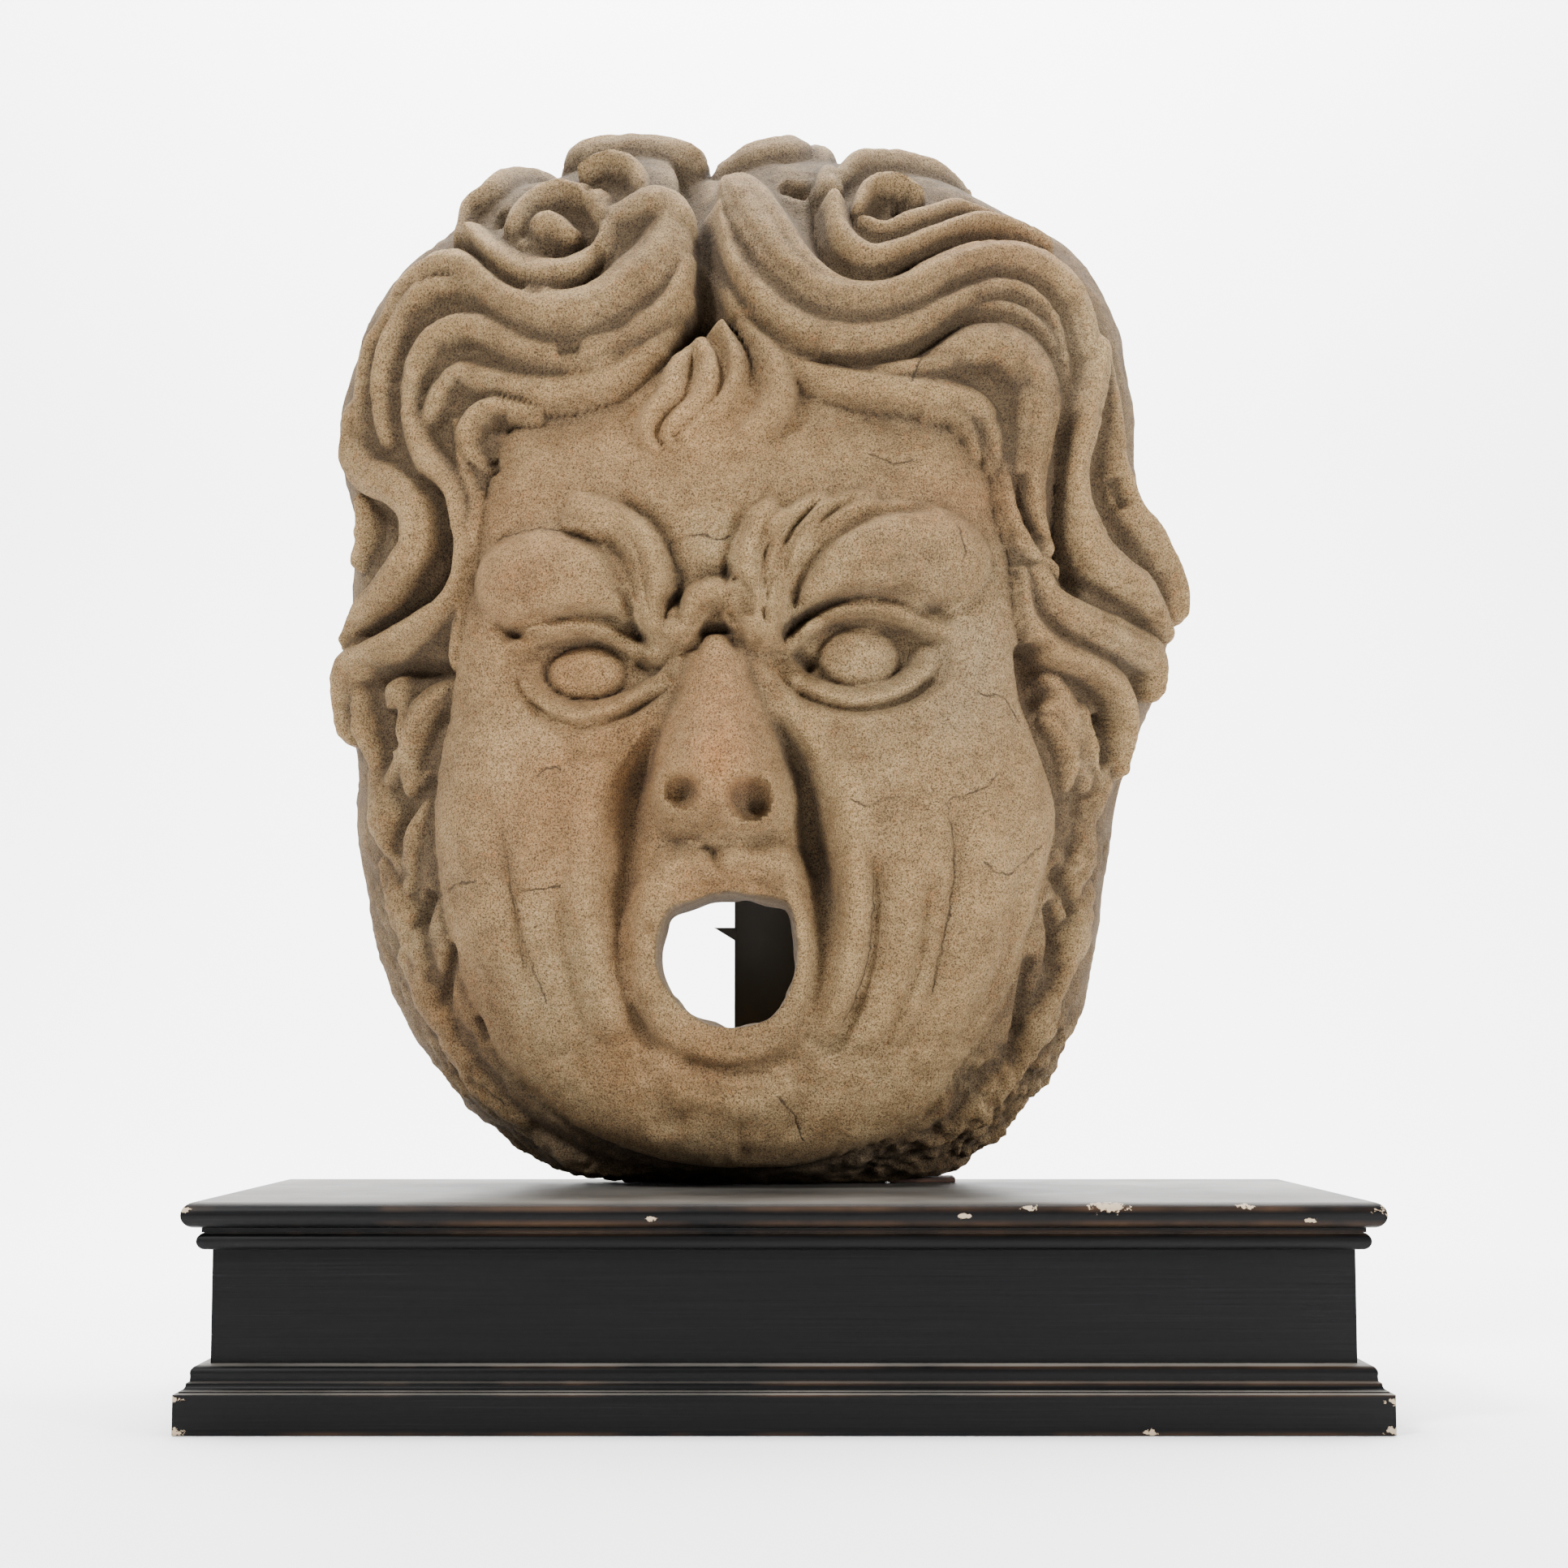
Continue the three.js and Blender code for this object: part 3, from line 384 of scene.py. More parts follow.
# %% [markdown]
# The face is one egg-shaped swelling that stands off the hair. Its edge is a quarter round about
# 48 mm across, which casts the dark line down both cheeks. Above the hairline it dies into a
# flatter forehead.

# %% Face egg
FACE_EDGE = [
    (620, 520), (592, 600), (580, 650), (573, 700), (562, 760), (555, 820), (545, 880), (532, 940),
    (528, 1000), (532, 1080), (545, 1160), (568, 1230), (600, 1295), (645, 1350), (700, 1390), (765, 1420),
    (850, 1436), (950, 1442), (1040, 1436), (1100, 1412), (1145, 1378), (1182, 1330), (1222, 1272),
    (1248, 1230), (1268, 1175), (1284, 1115), (1300, 1065), (1310, 1010), (1304, 970), (1288, 925),
    (1266, 860), (1260, 770), (1250, 690), (1236, 640), (1222, 575), (1150, 490), (1040, 460), (950, 400),
    (870, 380), (800, 430), (700, 470),
]
HAIR_GROUND = -7.0
FACE_RISE = 26.0
EDGE_RADIUS = 48.0
EDGE_REACH = 400.0
FOREHEAD_LOW, FOREHEAD_RISE = -2, 14

near, gap, _, _ = along(FACE_EDGE, 8, EDGE_REACH, closed=True)
edge_gap = np.full(len(P), EDGE_REACH)
edge_gap[near] = gap
in_face = inside(smooth_line(FACE_EDGE, closed=True)[:-1], SEEN)
inward = np.clip(edge_gap / EDGE_RADIUS, 0, 1)
puffed = HAIR_GROUND + FACE_RISE * np.sqrt(np.clip(1 - (1 - inward) ** 2, 0, 1))
below_hairline = fade(520, 600)
face = (FOREHEAD_LOW + FOREHEAD_RISE * inward) * (1 - below_hairline) + puffed * below_hairline
print("face points", int(in_face.sum()))

# %% [markdown]
# Broad forms come first, as on the block: puffed cheeks, chin and brow swells, then the sunk
# sockets with the eyeballs standing in them.

# %% Cheeks, chin, brow and eye sockets
face += swell((640, 1010), 75, 120, 12, fall=1.5, lift=15)
face += swell((1160, 1010), 88, 125, 14, fall=1.5, lift=15)
face += swell((900, 1372), 125, 62, 12, fall=1.5, lift=15)
face += swell((870, 610), 150, 70, 7, fall=1.5, lift=10)
face += swell((882, 480), 62, 52, 11, power=2.4, fall=0.8, lift=15)
face += swell((684, 722), 60, 43, 27, turn=-8, power=2.6, fall=0.85, lift=14)
face += swell((694, 688), 62, 42, 7, turn=-8, fall=1.4, lift=12)
face += swell((1097, 698), 74, 46, 28, turn=6, power=2.6, fall=0.85, lift=14)
face += swell((1084, 662), 78, 42, 8, turn=6, fall=1.4, lift=12)
face -= swell((730, 824), 64, 40, 28, power=2.6, lift=8)
face -= swell((1056, 808), 70, 43, 29, power=2.6, lift=8)
face += swell((719, 828), 28, 20, 20, power=2, fall=0.55, lift=8)
face += swell((1060, 808), 29, 22, 21, power=2, fall=0.55, lift=8)
face += swell((1066, 804), 12, 12, 1.6, power=4, fall=0.6, lift=8)
face += swell((716, 825), 11, 11, 1.2, power=4, fall=0.6, lift=8)
print("highest broad form", round(float(face[in_face].max()), 1), "mm")

# %% [markdown]
# The nose is blunt and turned up, so its stations are given down the ridge: the place, the half
# width and the height. It rises sharply from its root, and the nostrils are drilled.

# %% Nose
NOSE_STATIONS = [
    (883, 788, 20, 20), (883, 830, 27, 29), (884, 870, 36, 38), (885, 910, 45, 48), (886, 945, 50, 54),
    (887, 975, 52, 51), (886, 1005, 49, 38), (882, 1030, 40, 21), (880, 1046, 26, 8),
]
NOSE_FLAT = 0.18
NOSE_END_ROUND = 7
NOSE_BED, NOSE_FOOT = 0.35, 8

stations = np.array(NOSE_STATIONS, float)
ridge = np.vstack([seat([(u, v)], 0.55 * rise + 10) for u, v, _, rise in NOSE_STATIONS])
up_order = np.argsort(ridge[:, 2])
z_clamped = np.clip(P[:, 2], ridge[:, 2].min(), ridge[:, 2].max())
ridge_fine = smooth_line(np.column_stack([ridge, stations[:, 2:]])[up_order], steps=10)
nose_x, nose_half, nose_rise = (np.interp(z_clamped, ridge_fine[:, 2], ridge_fine[:, k]) for k in (0, 3, 4))
past_end = abs(P[:, 2] - z_clamped) / NOSE_END_ROUND
from_ridge = np.hypot((P[:, 0] - nose_x) / nose_half, past_end)
side_plane = np.clip((from_ridge - NOSE_FLAT) / (1 - NOSE_FLAT), 0, 1)
nose = nose_rise * (1 - side_plane ** 1.55) ** 0.8
face = np.where(nose > 0, np.maximum(face, face * NOSE_BED + nose + NOSE_FOOT), face)
print("nose stands", round(float(nose.max())), "mm")

# %% Nostrils and wings
face += swell((813, 978), 15, 23, 8, lift=40) + swell((964, 978), 15, 25, 8, lift=40)
face -= swell((841, 974), 13, 12, 20, power=2.4, fall=0.6, lift=50)
face -= swell((923, 982), 16, 15, 27, power=2.6, fall=0.55, lift=50)
line_form(face, 5, -5, [(820, 935), (808, 955), (806, 985), (815, 1010)], lift=30)
line_form(face, 5, -5, [(945, 935), (958, 955), (962, 985), (952, 1015)], lift=30)
print("tip of the face", round(float(face[in_face].max()), 1), "mm")

# %% [markdown]
# Lids are soft rolls with a crease above and a bag below.

# %% Eyelids
roll_form(face, 6, 10, [(634, 802), (660, 786), (695, 777), (728, 776), (772, 793), (812, 822)])
line_form(face, 4, -7, [(622, 788), (656, 770), (700, 760), (742, 759), (780, 775), (812, 802)], steep=3)
roll_form(face, 8, 13, [(648, 816), (658, 846), (684, 868), (718, 876), (772, 862), (826, 832)])
line_form(face, 4.5, -7, [(650, 866), (680, 888), (720, 895), (768, 882), (812, 850)], steep=3)
roll_form(face, 6, 11, [(968, 806), (986, 780), (1018, 760), (1056, 752), (1100, 757), (1144, 776),
                        (1172, 784)])
line_form(face, 4, -7, [(956, 788), (984, 763), (1018, 744), (1060, 735), (1112, 740), (1170, 762)], steep=3)
roll_form(face, 8.5, 14, [(966, 812), (984, 834), (1014, 850), (1056, 857), (1100, 848), (1134, 826),
                          (1148, 796)])
line_form(face, 4.5, -7, [(976, 850), (1014, 868), (1064, 875), (1116, 862), (1150, 836)], steep=3)
line_form(face, 6, -9, [(782, 808), (798, 818), (812, 826)])
line_form(face, 6, -10, [(976, 800), (990, 812), (1004, 822)])
line_form(face, 11, -4, [(700, 918), (740, 918), (796, 888)])
line_form(face, 11, -4, [(1000, 898), (1060, 900), (1130, 874)])
print("lids and bags cut")

# %% [markdown]
# The frown: a scroll of flesh drops from each brow to the root of the nose, three strands on the
# right and one thick one on the left, with knife-cut lines between them.

# %% Frown
roll_form(face, 16, 17, [(700, 634), (734, 642), (776, 660), (802, 698), (808, 744), (813, 784), (830, 800)])
line_form(face, 3.0, -7, [(736, 662), (772, 692), (786, 734), (800, 788)])
line_form(face, 2.8, -6, [(762, 652), (790, 684), (799, 730), (806, 770)])
line_form(face, 5, -8, [(762, 620), (812, 652), (836, 706), (834, 756)])
line_form(face, 6, -11, [(832, 730), (834, 758), (830, 776)])
line_form(face, 4, -8, [(690, 660), (742, 680), (764, 716), (778, 760), (798, 798)], steep=3)
roll_form(face, 13, 19, [(962, 630), (930, 662), (918, 704), (926, 752), (942, 792), (944, 806)])
roll_form(face, 10, 14, [(1022, 618), (972, 652), (950, 700), (946, 750), (950, 802)])
roll_form(face, 9, 12, [(1080, 616), (1020, 640), (980, 684), (964, 736), (958, 796)])
line_form(face, 3.0, -8, [(948, 660), (938, 700), (940, 745), (948, 788)])
line_form(face, 3.0, -8, [(1010, 626), (974, 664), (960, 716), (956, 770)])
line_form(face, 3.0, -7, [(1058, 618), (1012, 652), (980, 706), (966, 764)])
line_form(face, 4, -9, [(1140, 634), (1084, 642), (1028, 670), (992, 712), (974, 752), (966, 786)], steep=3)
line_form(face, 5, -8, [(926, 640), (902, 690), (906, 735), (924, 772)])
line_form(face, 6, -9, [(908, 716), (912, 742), (924, 770)])
line_form(face, 5, -10, [(612, 770), (648, 786), (692, 770), (768, 760)])
line_form(face, 5, -11, [(958, 790), (1010, 750), (1090, 746), (1132, 757), (1182, 738)])
line_form(face, 2.2, -3.5, [(617, 680), (640, 667), (668, 661), (702, 660), (745, 682)])
roll_form(face, 13, 17, [(842, 800), (846, 764), (862, 742), (882, 735), (902, 742), (918, 770), (930, 798)])
line_form(face, 5, -13, [(856, 806), (866, 786), (882, 778), (900, 784), (914, 804)], steep=3)
line_form(face, 2.8, -7, [(850, 782), (862, 760), (882, 751), (902, 760), (918, 786)])
line_form(face, 5, -9, [(820, 738), (824, 768)])
line_form(face, 5, -9, [(914, 726), (924, 750), (940, 782)])
line_form(face, 7, -4, [(838, 714), (870, 708), (905, 710)])
line_form(face, 9, 4, [(830, 688), (870, 682), (910, 686)])
print("frown cut")

# %% [markdown]
# Deep folds run from the nose past the mouth, and shallower ones fan over the cheeks. Where a
# fold changes on its way, its widths and depths are given as a row of values.

# %% Folds
line_form(face, (5, 10, 13, 12, 9, 8, 7), (-12, -25, -24, -19, -14, -11, -8), [(815, 896), (792, 938),
          (778, 990), (770, 1060), (767, 1120), (772, 1200), (790, 1262), (812, 1296)], steep=2.3)
line_form(face, (5, 10, 13, 13, 10, 8, 6), (-14, -28, -32, -31, -24, -15, -8), [(954, 884), (976, 924),
          (994, 975), (1002, 1035), (1012, 1100), (1016, 1160), (1006, 1230), (984, 1274)], steep=2.6)
CHEEK_FOLDS = [
    (15, 10, [(738, 930), (730, 1060), (734, 1160), (760, 1275)]),
    (5, -3, [(704, 1040), (697, 1110), (702, 1190), (728, 1285)]),
    (15, 4, [(668, 990), (662, 1100), (672, 1200), (700, 1290)]),
    (3.5, -3, [(628, 1045), (641, 1112), (649, 1175), (672, 1248)]),
    (14, 3, [(598, 1010), (596, 1110), (615, 1200)]),
    (15, 11, [(1040, 930), (1048, 1050), (1048, 1130), (1036, 1210), (1008, 1280)]),
    (4.5, -7, [(1072, 1050), (1078, 1110), (1070, 1190), (1042, 1262), (1012, 1304)]),
    (13, 6, [(1106, 1010), (1112, 1120), (1098, 1205), (1062, 1290)]),
    (3.5, -4, [(1136, 1080), (1134, 1140), (1118, 1215), (1084, 1290)]),
    (4, -3.5, [(1164, 990), (1170, 1050), (1164, 1120), (1150, 1200), (1130, 1250), (1098, 1306)]),
    (16, 5, [(1204, 1010), (1204, 1110), (1188, 1190), (1152, 1275)]),
    (9, -4, [(1250, 1060), (1242, 1150), (1216, 1222), (1172, 1295)]),
    (9, -4, [(796, 1300), (806, 1345), (830, 1380)]),
    (9, -4, [(994, 1290), (990, 1340), (970, 1385)]),
]
for half_width, rise, places in CHEEK_FOLDS:
    line_form(face, half_width, rise, places)
print("cheek folds", len(CHEEK_FOLDS))

# %% [markdown]
# The lips form one thick ring, as a spout mouth needs, and the upper lip is pushed up in two
# small pads under the nose.

# %% Lips
MOUTH_EDGE = [
    (828, 1121), (850, 1112), (880, 1103), (905, 1101), (932, 1105), (968, 1115), (979, 1144), (981, 1178),
    (974, 1212), (959, 1243), (936, 1258), (900, 1265), (868, 1258), (842, 1242), (822, 1216), (810, 1190),
    (810, 1160), (817, 1136),
]
LIP_CREST = [
    (804, 1112), (838, 1086), (880, 1074), (930, 1076), (974, 1092), (997, 1128), (1000, 1180), (988, 1228),
    (950, 1268), (900, 1278), (850, 1268), (811, 1238), (793, 1190), (792, 1148),
]
roll_form(face, 17, 9, LIP_CREST, closed=True, lift=12)
roll_form(face, 15, 6, [(800, 1100), (840, 1066), (900, 1058), (960, 1066), (998, 1104)])
roll_form(face, 10, 6, [(812, 1068), (846, 1048), (876, 1056)])
roll_form(face, 11, 7, [(886, 1058), (922, 1044), (962, 1058), (982, 1080)])
line_form(face, 4.5, -6, [(822, 1050), (852, 1034), (880, 1050), (910, 1034), (952, 1040)])
line_form(face, 3.5, -5, [(866, 1040), (882, 1058), (890, 1076)])
line_form(face, 8, -4, [(838, 1300), (880, 1310), (930, 1308), (972, 1290)])
line_form(face, 11, 4, [(825, 1334), (900, 1344), (985, 1330)])
line_form(face, 4, -6, [(802, 1136), (799, 1146)])
print("lip ring of", len(LIP_CREST), "places")

# %% [markdown]
# Hair is a mass of thick S-shaped locks. Each one is a rounded roll with a few strand lines cut
# along it. The widths and heights change along the lock, so it swells and dies away as a carved
# one does. A row holds the half widths, the heights, the number of strands, the depth of the
# strand lines and the course.

# %% Locks on the left
LEFT_LOCKS = [
    ((18, 27, 28, 20, 15, 13, 13), (32, 36, 36, 32, 28, 20, 14), 2, 1.6, [(824, 250), (818, 300), (780, 345),
     (730, 378), (680, 385), (632, 370), (596, 340), (562, 322), (528, 326), (498, 352), (474, 390),
     (446, 430), (434, 480), (430, 530), (436, 575)]),
    ((8, 13, 14, 12), (22, 26, 24, 16), 1, 1.6, [(600, 372), (560, 352), (528, 358), (503, 380), (486, 412),
     (472, 450), (466, 495), (472, 540)]),
    ((10, 17, 20, 16, 13, 12), (26, 30, 30, 28, 24, 16), 2, 1.6, [(846, 320), (824, 372), (778, 412),
     (722, 434), (680, 437), (640, 427), (600, 405), (565, 398), (535, 410), (512, 437), (500, 470),
     (498, 505)]),
    ((9, 15, 17, 15, 12), (20, 26, 25, 22, 14), 1, 1.6, [(846, 362), (826, 405), (792, 440), (750, 464),
     (700, 477), (650, 477), (600, 466), (566, 456), (545, 470), (530, 492), (522, 512)]),
    ((8, 11, 11, 7), (20, 24, 22, 8), 1, 1.4, [(655, 506), (614, 500), (586, 510), (572, 534), (578, 558),
     (594, 574)]),
    ((12, 14, 13, 12, 13, 17, 17, 14), (18, 22, 22, 22, 22, 22, 20, 14), 1, 1.8, [(502, 505), (520, 560),
     (552, 600), (566, 650), (568, 700), (548, 742), (502, 772), (455, 797), (424, 822), (413, 862),
     (416, 900)]),
    ((6, 8, 8, 7), (12, 15, 14, 6), 0, 0, [(562, 520), (570, 575), (586, 622), (584, 682), (574, 727),
     (560, 770), (553, 815)]),
    ((16, 17, 16, 16, 16, 13), (20, 24, 26, 26, 22, 14), 2, 2.0, [(430, 511), (428, 554), (450, 584),
     (480, 598), (507, 627), (510, 664), (494, 694), (470, 725), (435, 758), (416, 788)]),
    ((9, 11, 8), (10, 12, 8), 0, 0, [(442, 620), (446, 655), (434, 690)]),
    ((12, 14, 13, 10), (8, 12, 10, 4), 1, 1.8, [(540, 850), (512, 880), (496, 925), (470, 960)]),
    ((10, 12, 8), (8, 12, 5), 0, 0, [(436, 850), (440, 890), (452, 940)]),
]
print("left locks", len(LEFT_LOCKS))

# %% Curls at the crown, left of the parting
LEFT_CURLS = [
    ((13, 17, 19, 18, 15), (26, 30, 32, 30, 28), 2, 1.6, [(576, 280), (606, 312), (650, 338), (698, 336),
     (736, 312), (752, 280)]),
    ((13, 18, 13), (24, 31, 25), 1, 1.8, [(648, 296), (672, 276), (702, 288)]),
    ((9, 11, 12, 11), (19, 24, 25, 21), 1, 1.5, [(564, 290), (578, 256), (606, 232), (644, 220),
     (686, 228)]),
    ((12, 15, 14, 12), (26, 31, 31, 28), 2, 1.8, [(636, 276), (654, 250), (692, 238), (728, 246),
     (744, 268)]),
    ((12, 16, 17, 17, 15), (22, 27, 28, 28, 25), 2, 1.8, [(698, 214), (724, 186), (768, 168), (814, 170),
     (852, 192), (866, 222)]),
    ((8, 11, 10), (30, 34, 30), 1, 1.6, [(720, 214), (750, 202), (782, 212), (790, 234)]),
    ((18, 24, 22), (30, 38, 34), 1, 1.6, [(764, 262), (806, 252), (846, 266)]),
]
print("left curls", len(LEFT_CURLS))

# %% Forelock and the curls right of the parting
RIGHT_CURLS = [
    ((9, 12, 13, 12, 10, 8), (26, 32, 33, 32, 29, 23), 1, 1.4, [(848, 428), (834, 458), (828, 484),
     (808, 506), (796, 526), (802, 546), (822, 558)]),
    ((9, 12, 13, 12, 8), (28, 34, 34, 31, 24), 1, 1.6, [(862, 420), (874, 456), (864, 494), (834, 518),
     (822, 538), (840, 558)]),
    ((9, 13, 14, 13, 8), (28, 35, 35, 31, 24), 1, 1.6, [(888, 398), (906, 442), (902, 484), (868, 517),
     (844, 540), (860, 556)]),
    ((10, 14, 16, 14, 8), (28, 35, 35, 31, 22), 2, 1.6, [(918, 396), (951, 446), (957, 490), (926, 528),
     (888, 546), (870, 556)]),
    ((15, 19, 20, 17, 13), (24, 30, 30, 30, 26), 2, 1.8, [(884, 214), (916, 182), (962, 176), (1002, 198),
     (1024, 230)]),
    ((11, 14, 15, 14, 10), (22, 26, 26, 25, 19), 1, 1.6, [(1030, 226), (1060, 202), (1108, 198),
     (1154, 212), (1190, 236)]),
    ((7, 9, 9, 7), (28, 31, 30, 26), 0, 0, [(1056, 262), (1070, 236), (1104, 228), (1132, 240)]),
    ((9, 12, 12, 9), (26, 30, 28, 20), 1, 1.5, [(1062, 276), (1092, 286), (1134, 272), (1180, 256),
     (1224, 262)]),
    ((13, 16, 15, 14, 12), (30, 33, 32, 30, 22), 1, 1.6, [(1026, 248), (1036, 290), (1068, 318),
     (1110, 312), (1156, 292), (1208, 273), (1250, 276), (1290, 294)]),
]
print("forelock and right curls", len(RIGHT_CURLS))

# %% Locks on the right
RIGHT_LOCKS = [
    ((26, 28, 25, 22, 19, 18), (36, 38, 36, 34, 32, 26), 3, 1.8, [(905, 235), (932, 275), (965, 322),
     (1008, 356), (1058, 368), (1112, 356), (1162, 332), (1218, 314), (1270, 320), (1308, 342),
     (1332, 378), (1345, 425)]),
    ((22, 24, 22, 16, 12, 10), (34, 36, 34, 30, 26, 20), 2, 1.6, [(884, 265), (898, 318), (938, 370),
     (992, 405), (1055, 416), (1112, 402), (1165, 377), (1215, 354), (1258, 354), (1290, 374),
     (1308, 410), (1318, 460)]),
    ((10, 12, 12, 10), (20, 24, 22, 14), 1, 1.4, [(1165, 398), (1205, 384), (1245, 384), (1278, 404),
     (1298, 438), (1306, 490)]),
    ((12, 17, 17, 14, 10), (24, 30, 28, 24, 14), 2, 1.6, [(965, 440), (1010, 460), (1070, 472), (1125, 478),
     (1175, 486), (1208, 500), (1226, 530), (1234, 570)]),
    ((10, 14, 13, 9), (22, 28, 26, 18), 1, 1.4, [(1050, 450), (1110, 455), (1160, 446), (1200, 420)]),
    ((14, 21, 24, 23, 18, 14, 9), (22, 29, 31, 30, 26, 22, 14), 2, 1.6, [(1140, 444), (1180, 426),
     (1225, 420), (1260, 440), (1280, 482), (1280, 530), (1274, 580), (1280, 630), (1298, 670)]),
    ((9, 12, 12, 9), (12, 18, 18, 10), 1, 1.4, [(1238, 556), (1240, 600), (1250, 645), (1272, 680),
     (1302, 698)]),
    ((7, 9, 8), (14, 18, 10), 1, 1.4, [(1140, 508), (1175, 510), (1198, 532), (1205, 560)]),
    ((16, 18, 18, 18, 18, 17, 13), (28, 28, 26, 24, 24, 24, 18), 2, 2.0, [(1352, 430), (1340, 500),
     (1328, 550), (1324, 590), (1338, 645), (1372, 692), (1416, 730), (1446, 778)]),
    ((11, 14, 16, 16, 16, 15, 13), (6, 12, 17, 20, 20, 19, 16), 1, 1.8, [(1372, 420), (1377, 500),
     (1378, 566), (1396, 621), (1428, 666), (1453, 712), (1460, 752)]),
    ((11, 15, 17, 16, 13), (20, 24, 24, 22, 16), 2, 1.8, [(1284, 706), (1302, 740), (1344, 768),
     (1392, 790), (1428, 812), (1432, 852)]),
    ((9, 12, 13, 13, 12), (14, 18, 20, 20, 14), 1, 1.8, [(1262, 702), (1270, 760), (1300, 798), (1350, 820),
     (1384, 854), (1396, 900), (1390, 948)]),
    ((8, 11, 8), (8, 12, 5), 1, 1.8, [(1302, 890), (1322, 925), (1322, 965)]),
    ((8, 11, 8), (8, 12, 5), 1, 1.8, [(1340, 880), (1348, 925), (1360, 960)]),
]
print("right locks", len(RIGHT_LOCKS))

# %% [markdown]
# Behind the cheeks the hair dies away in low waves like a short beard, worn almost flat.

# %% Low waves behind the cheeks
FRINGE = [
    ((12, 18, 12), (4, 10, 4), [(475, 840), (492, 905), (500, 965)]),
    ((14, 20, 13), (2, 9, 3), [(455, 950), (468, 1010), (490, 1070)]),
    ((10, 14, 10), (2, 8, 3), [(520, 960), (505, 1030), (498, 1090)]),
    ((14, 19, 13), (2, 8, 3), [(468, 1075), (488, 1125), (510, 1190)]),
    ((14, 18, 12), (2, 8, 2), [(492, 1185), (520, 1235), (550, 1290)]),
    ((14, 18, 12), (2, 7, 2), [(545, 1285), (585, 1340), (635, 1390)]),
    ((14, 18, 12), (4, 10, 4), [(1300, 850), (1328, 900), (1345, 965)]),
    ((12, 15, 12), (3, 9, 4), [(1370, 930), (1362, 975), (1352, 1010)]),
    ((13, 19, 13), (3, 10, 4), [(1350, 1000), (1342, 1060), (1322, 1115)]),
    ((13, 18, 12), (3, 9, 3), [(1350, 1100), (1335, 1160), (1305, 1215)]),
    ((13, 17, 12), (2, 8, 2), [(1318, 1205), (1292, 1265), (1262, 1325)]),
    ((13, 17, 12), (2, 6, 2), [(1245, 1330), (1208, 1375), (1155, 1420)]),
    ((12, 15, 12), (0, 5, 0), [(640, 1400), (700, 1430), (780, 1450)]),
]
print("waves", len(FRINGE))

# %% [markdown]
# Blurring a height field over its neighbours gives the mean height round each point. It fills the
# gaps between the locks up to a little under that mean, so the hair stays one mass of stone with
# creases in it, as it does on the real carving.

# %% Blurring
def soften(field, passes):
    grid = field.reshape(CELLS + 1, CELLS + 1)
    for _ in range(passes):
        padded = np.pad(grid, 1, mode="edge")
        grid = (padded[1:-1, :-2] + padded[1:-1, 2:] + padded[:-2, 1:-1] + padded[2:, 1:-1]) / 4
    return grid.reshape(-1)


FACE_BLUR = 0.25
face = (1 - FACE_BLUR) * face + FACE_BLUR * soften(face, 1)
print("face blurred by", FACE_BLUR)

# %% [markdown]
# The ground under the hair rises towards the crown. Low down it also swells up against the
# cheeks, so the step from the face to the side of the stone is a soft one.

# %% Ground of the hair
CROWN_GROUND = 16
EDGE_FILL, EDGE_FILL_REACH, EDGE_BLEND = 9.0, 26.0, 20
BELOW_ALL = -50.0

ground = HAIR_GROUND + CROWN_GROUND * fade(430, 230)
ground += EDGE_FILL * fade(900, 1050) * np.exp(-(edge_gap / EDGE_FILL_REACH) ** 2)
near_edge = np.where(edge_gap < EDGE_BLEND, ground, BELOW_ALL)
height = np.where(in_face, smooth_max(face, near_edge, 2.0), ground)
print("ground from", round(float(ground.min()), 1), "to", round(float(ground.max()), 1), "mm")

# %% Laying the locks
LOCK_SPREAD = 1.12
LOCK_ROOT = -10
STRAND_DEPTH = 1.45
STRAND_EDGE = 0.92
MASS_PASSES = 45
CREASE_DEPTH = 6.5

locks = np.full(len(P), BELOW_ALL)
LOCKS = LEFT_LOCKS + LEFT_CURLS + RIGHT_CURLS + RIGHT_LOCKS
for widths, rises, strands, cut, places in LOCKS + [(w, r, 0, 0, p) for w, r, p in FRINGE]:
    near, gap, run, side = along(places, max(rises) * 0.6, max(widths) * LOCK_SPREAD * 1.1)
    across = gap / valued(widths, run) / LOCK_SPREAD
    section = np.clip(1 - np.clip(across, 0, 1) ** 2.2, 0, 1) ** 0.6
    form = LOCK_ROOT + (valued(rises, run) - LOCK_ROOT) * section
    if strands:
        lines = np.abs(np.cos(np.pi * side * across * (strands + 1) / 2))
        form -= STRAND_DEPTH * cut * (1 - lines ** 0.7) * (across < STRAND_EDGE)
    locks[near] = smooth_max(locks[near], np.where(across < 1, form, BELOW_ALL), 1.8)
height = smooth_max(height, locks, 2.0)

hair = np.where(in_face, 0.0, 1.0)
mass = soften(height * hair, MASS_PASSES) / np.maximum(soften(hair, MASS_PASSES), 1e-3) - CREASE_DEPTH
upper = fade(900, 700)
height = np.where(in_face, height, smooth_max(height, mass * upper + (1 - upper) * height, 3.0))
print("locks and waves", len(LOCKS) + len(FRINGE))

# %% [markdown]
# The drill and the point chisel come last: the parting, the hearts of the curls and the dark
# gaps that let the locks read from far off.

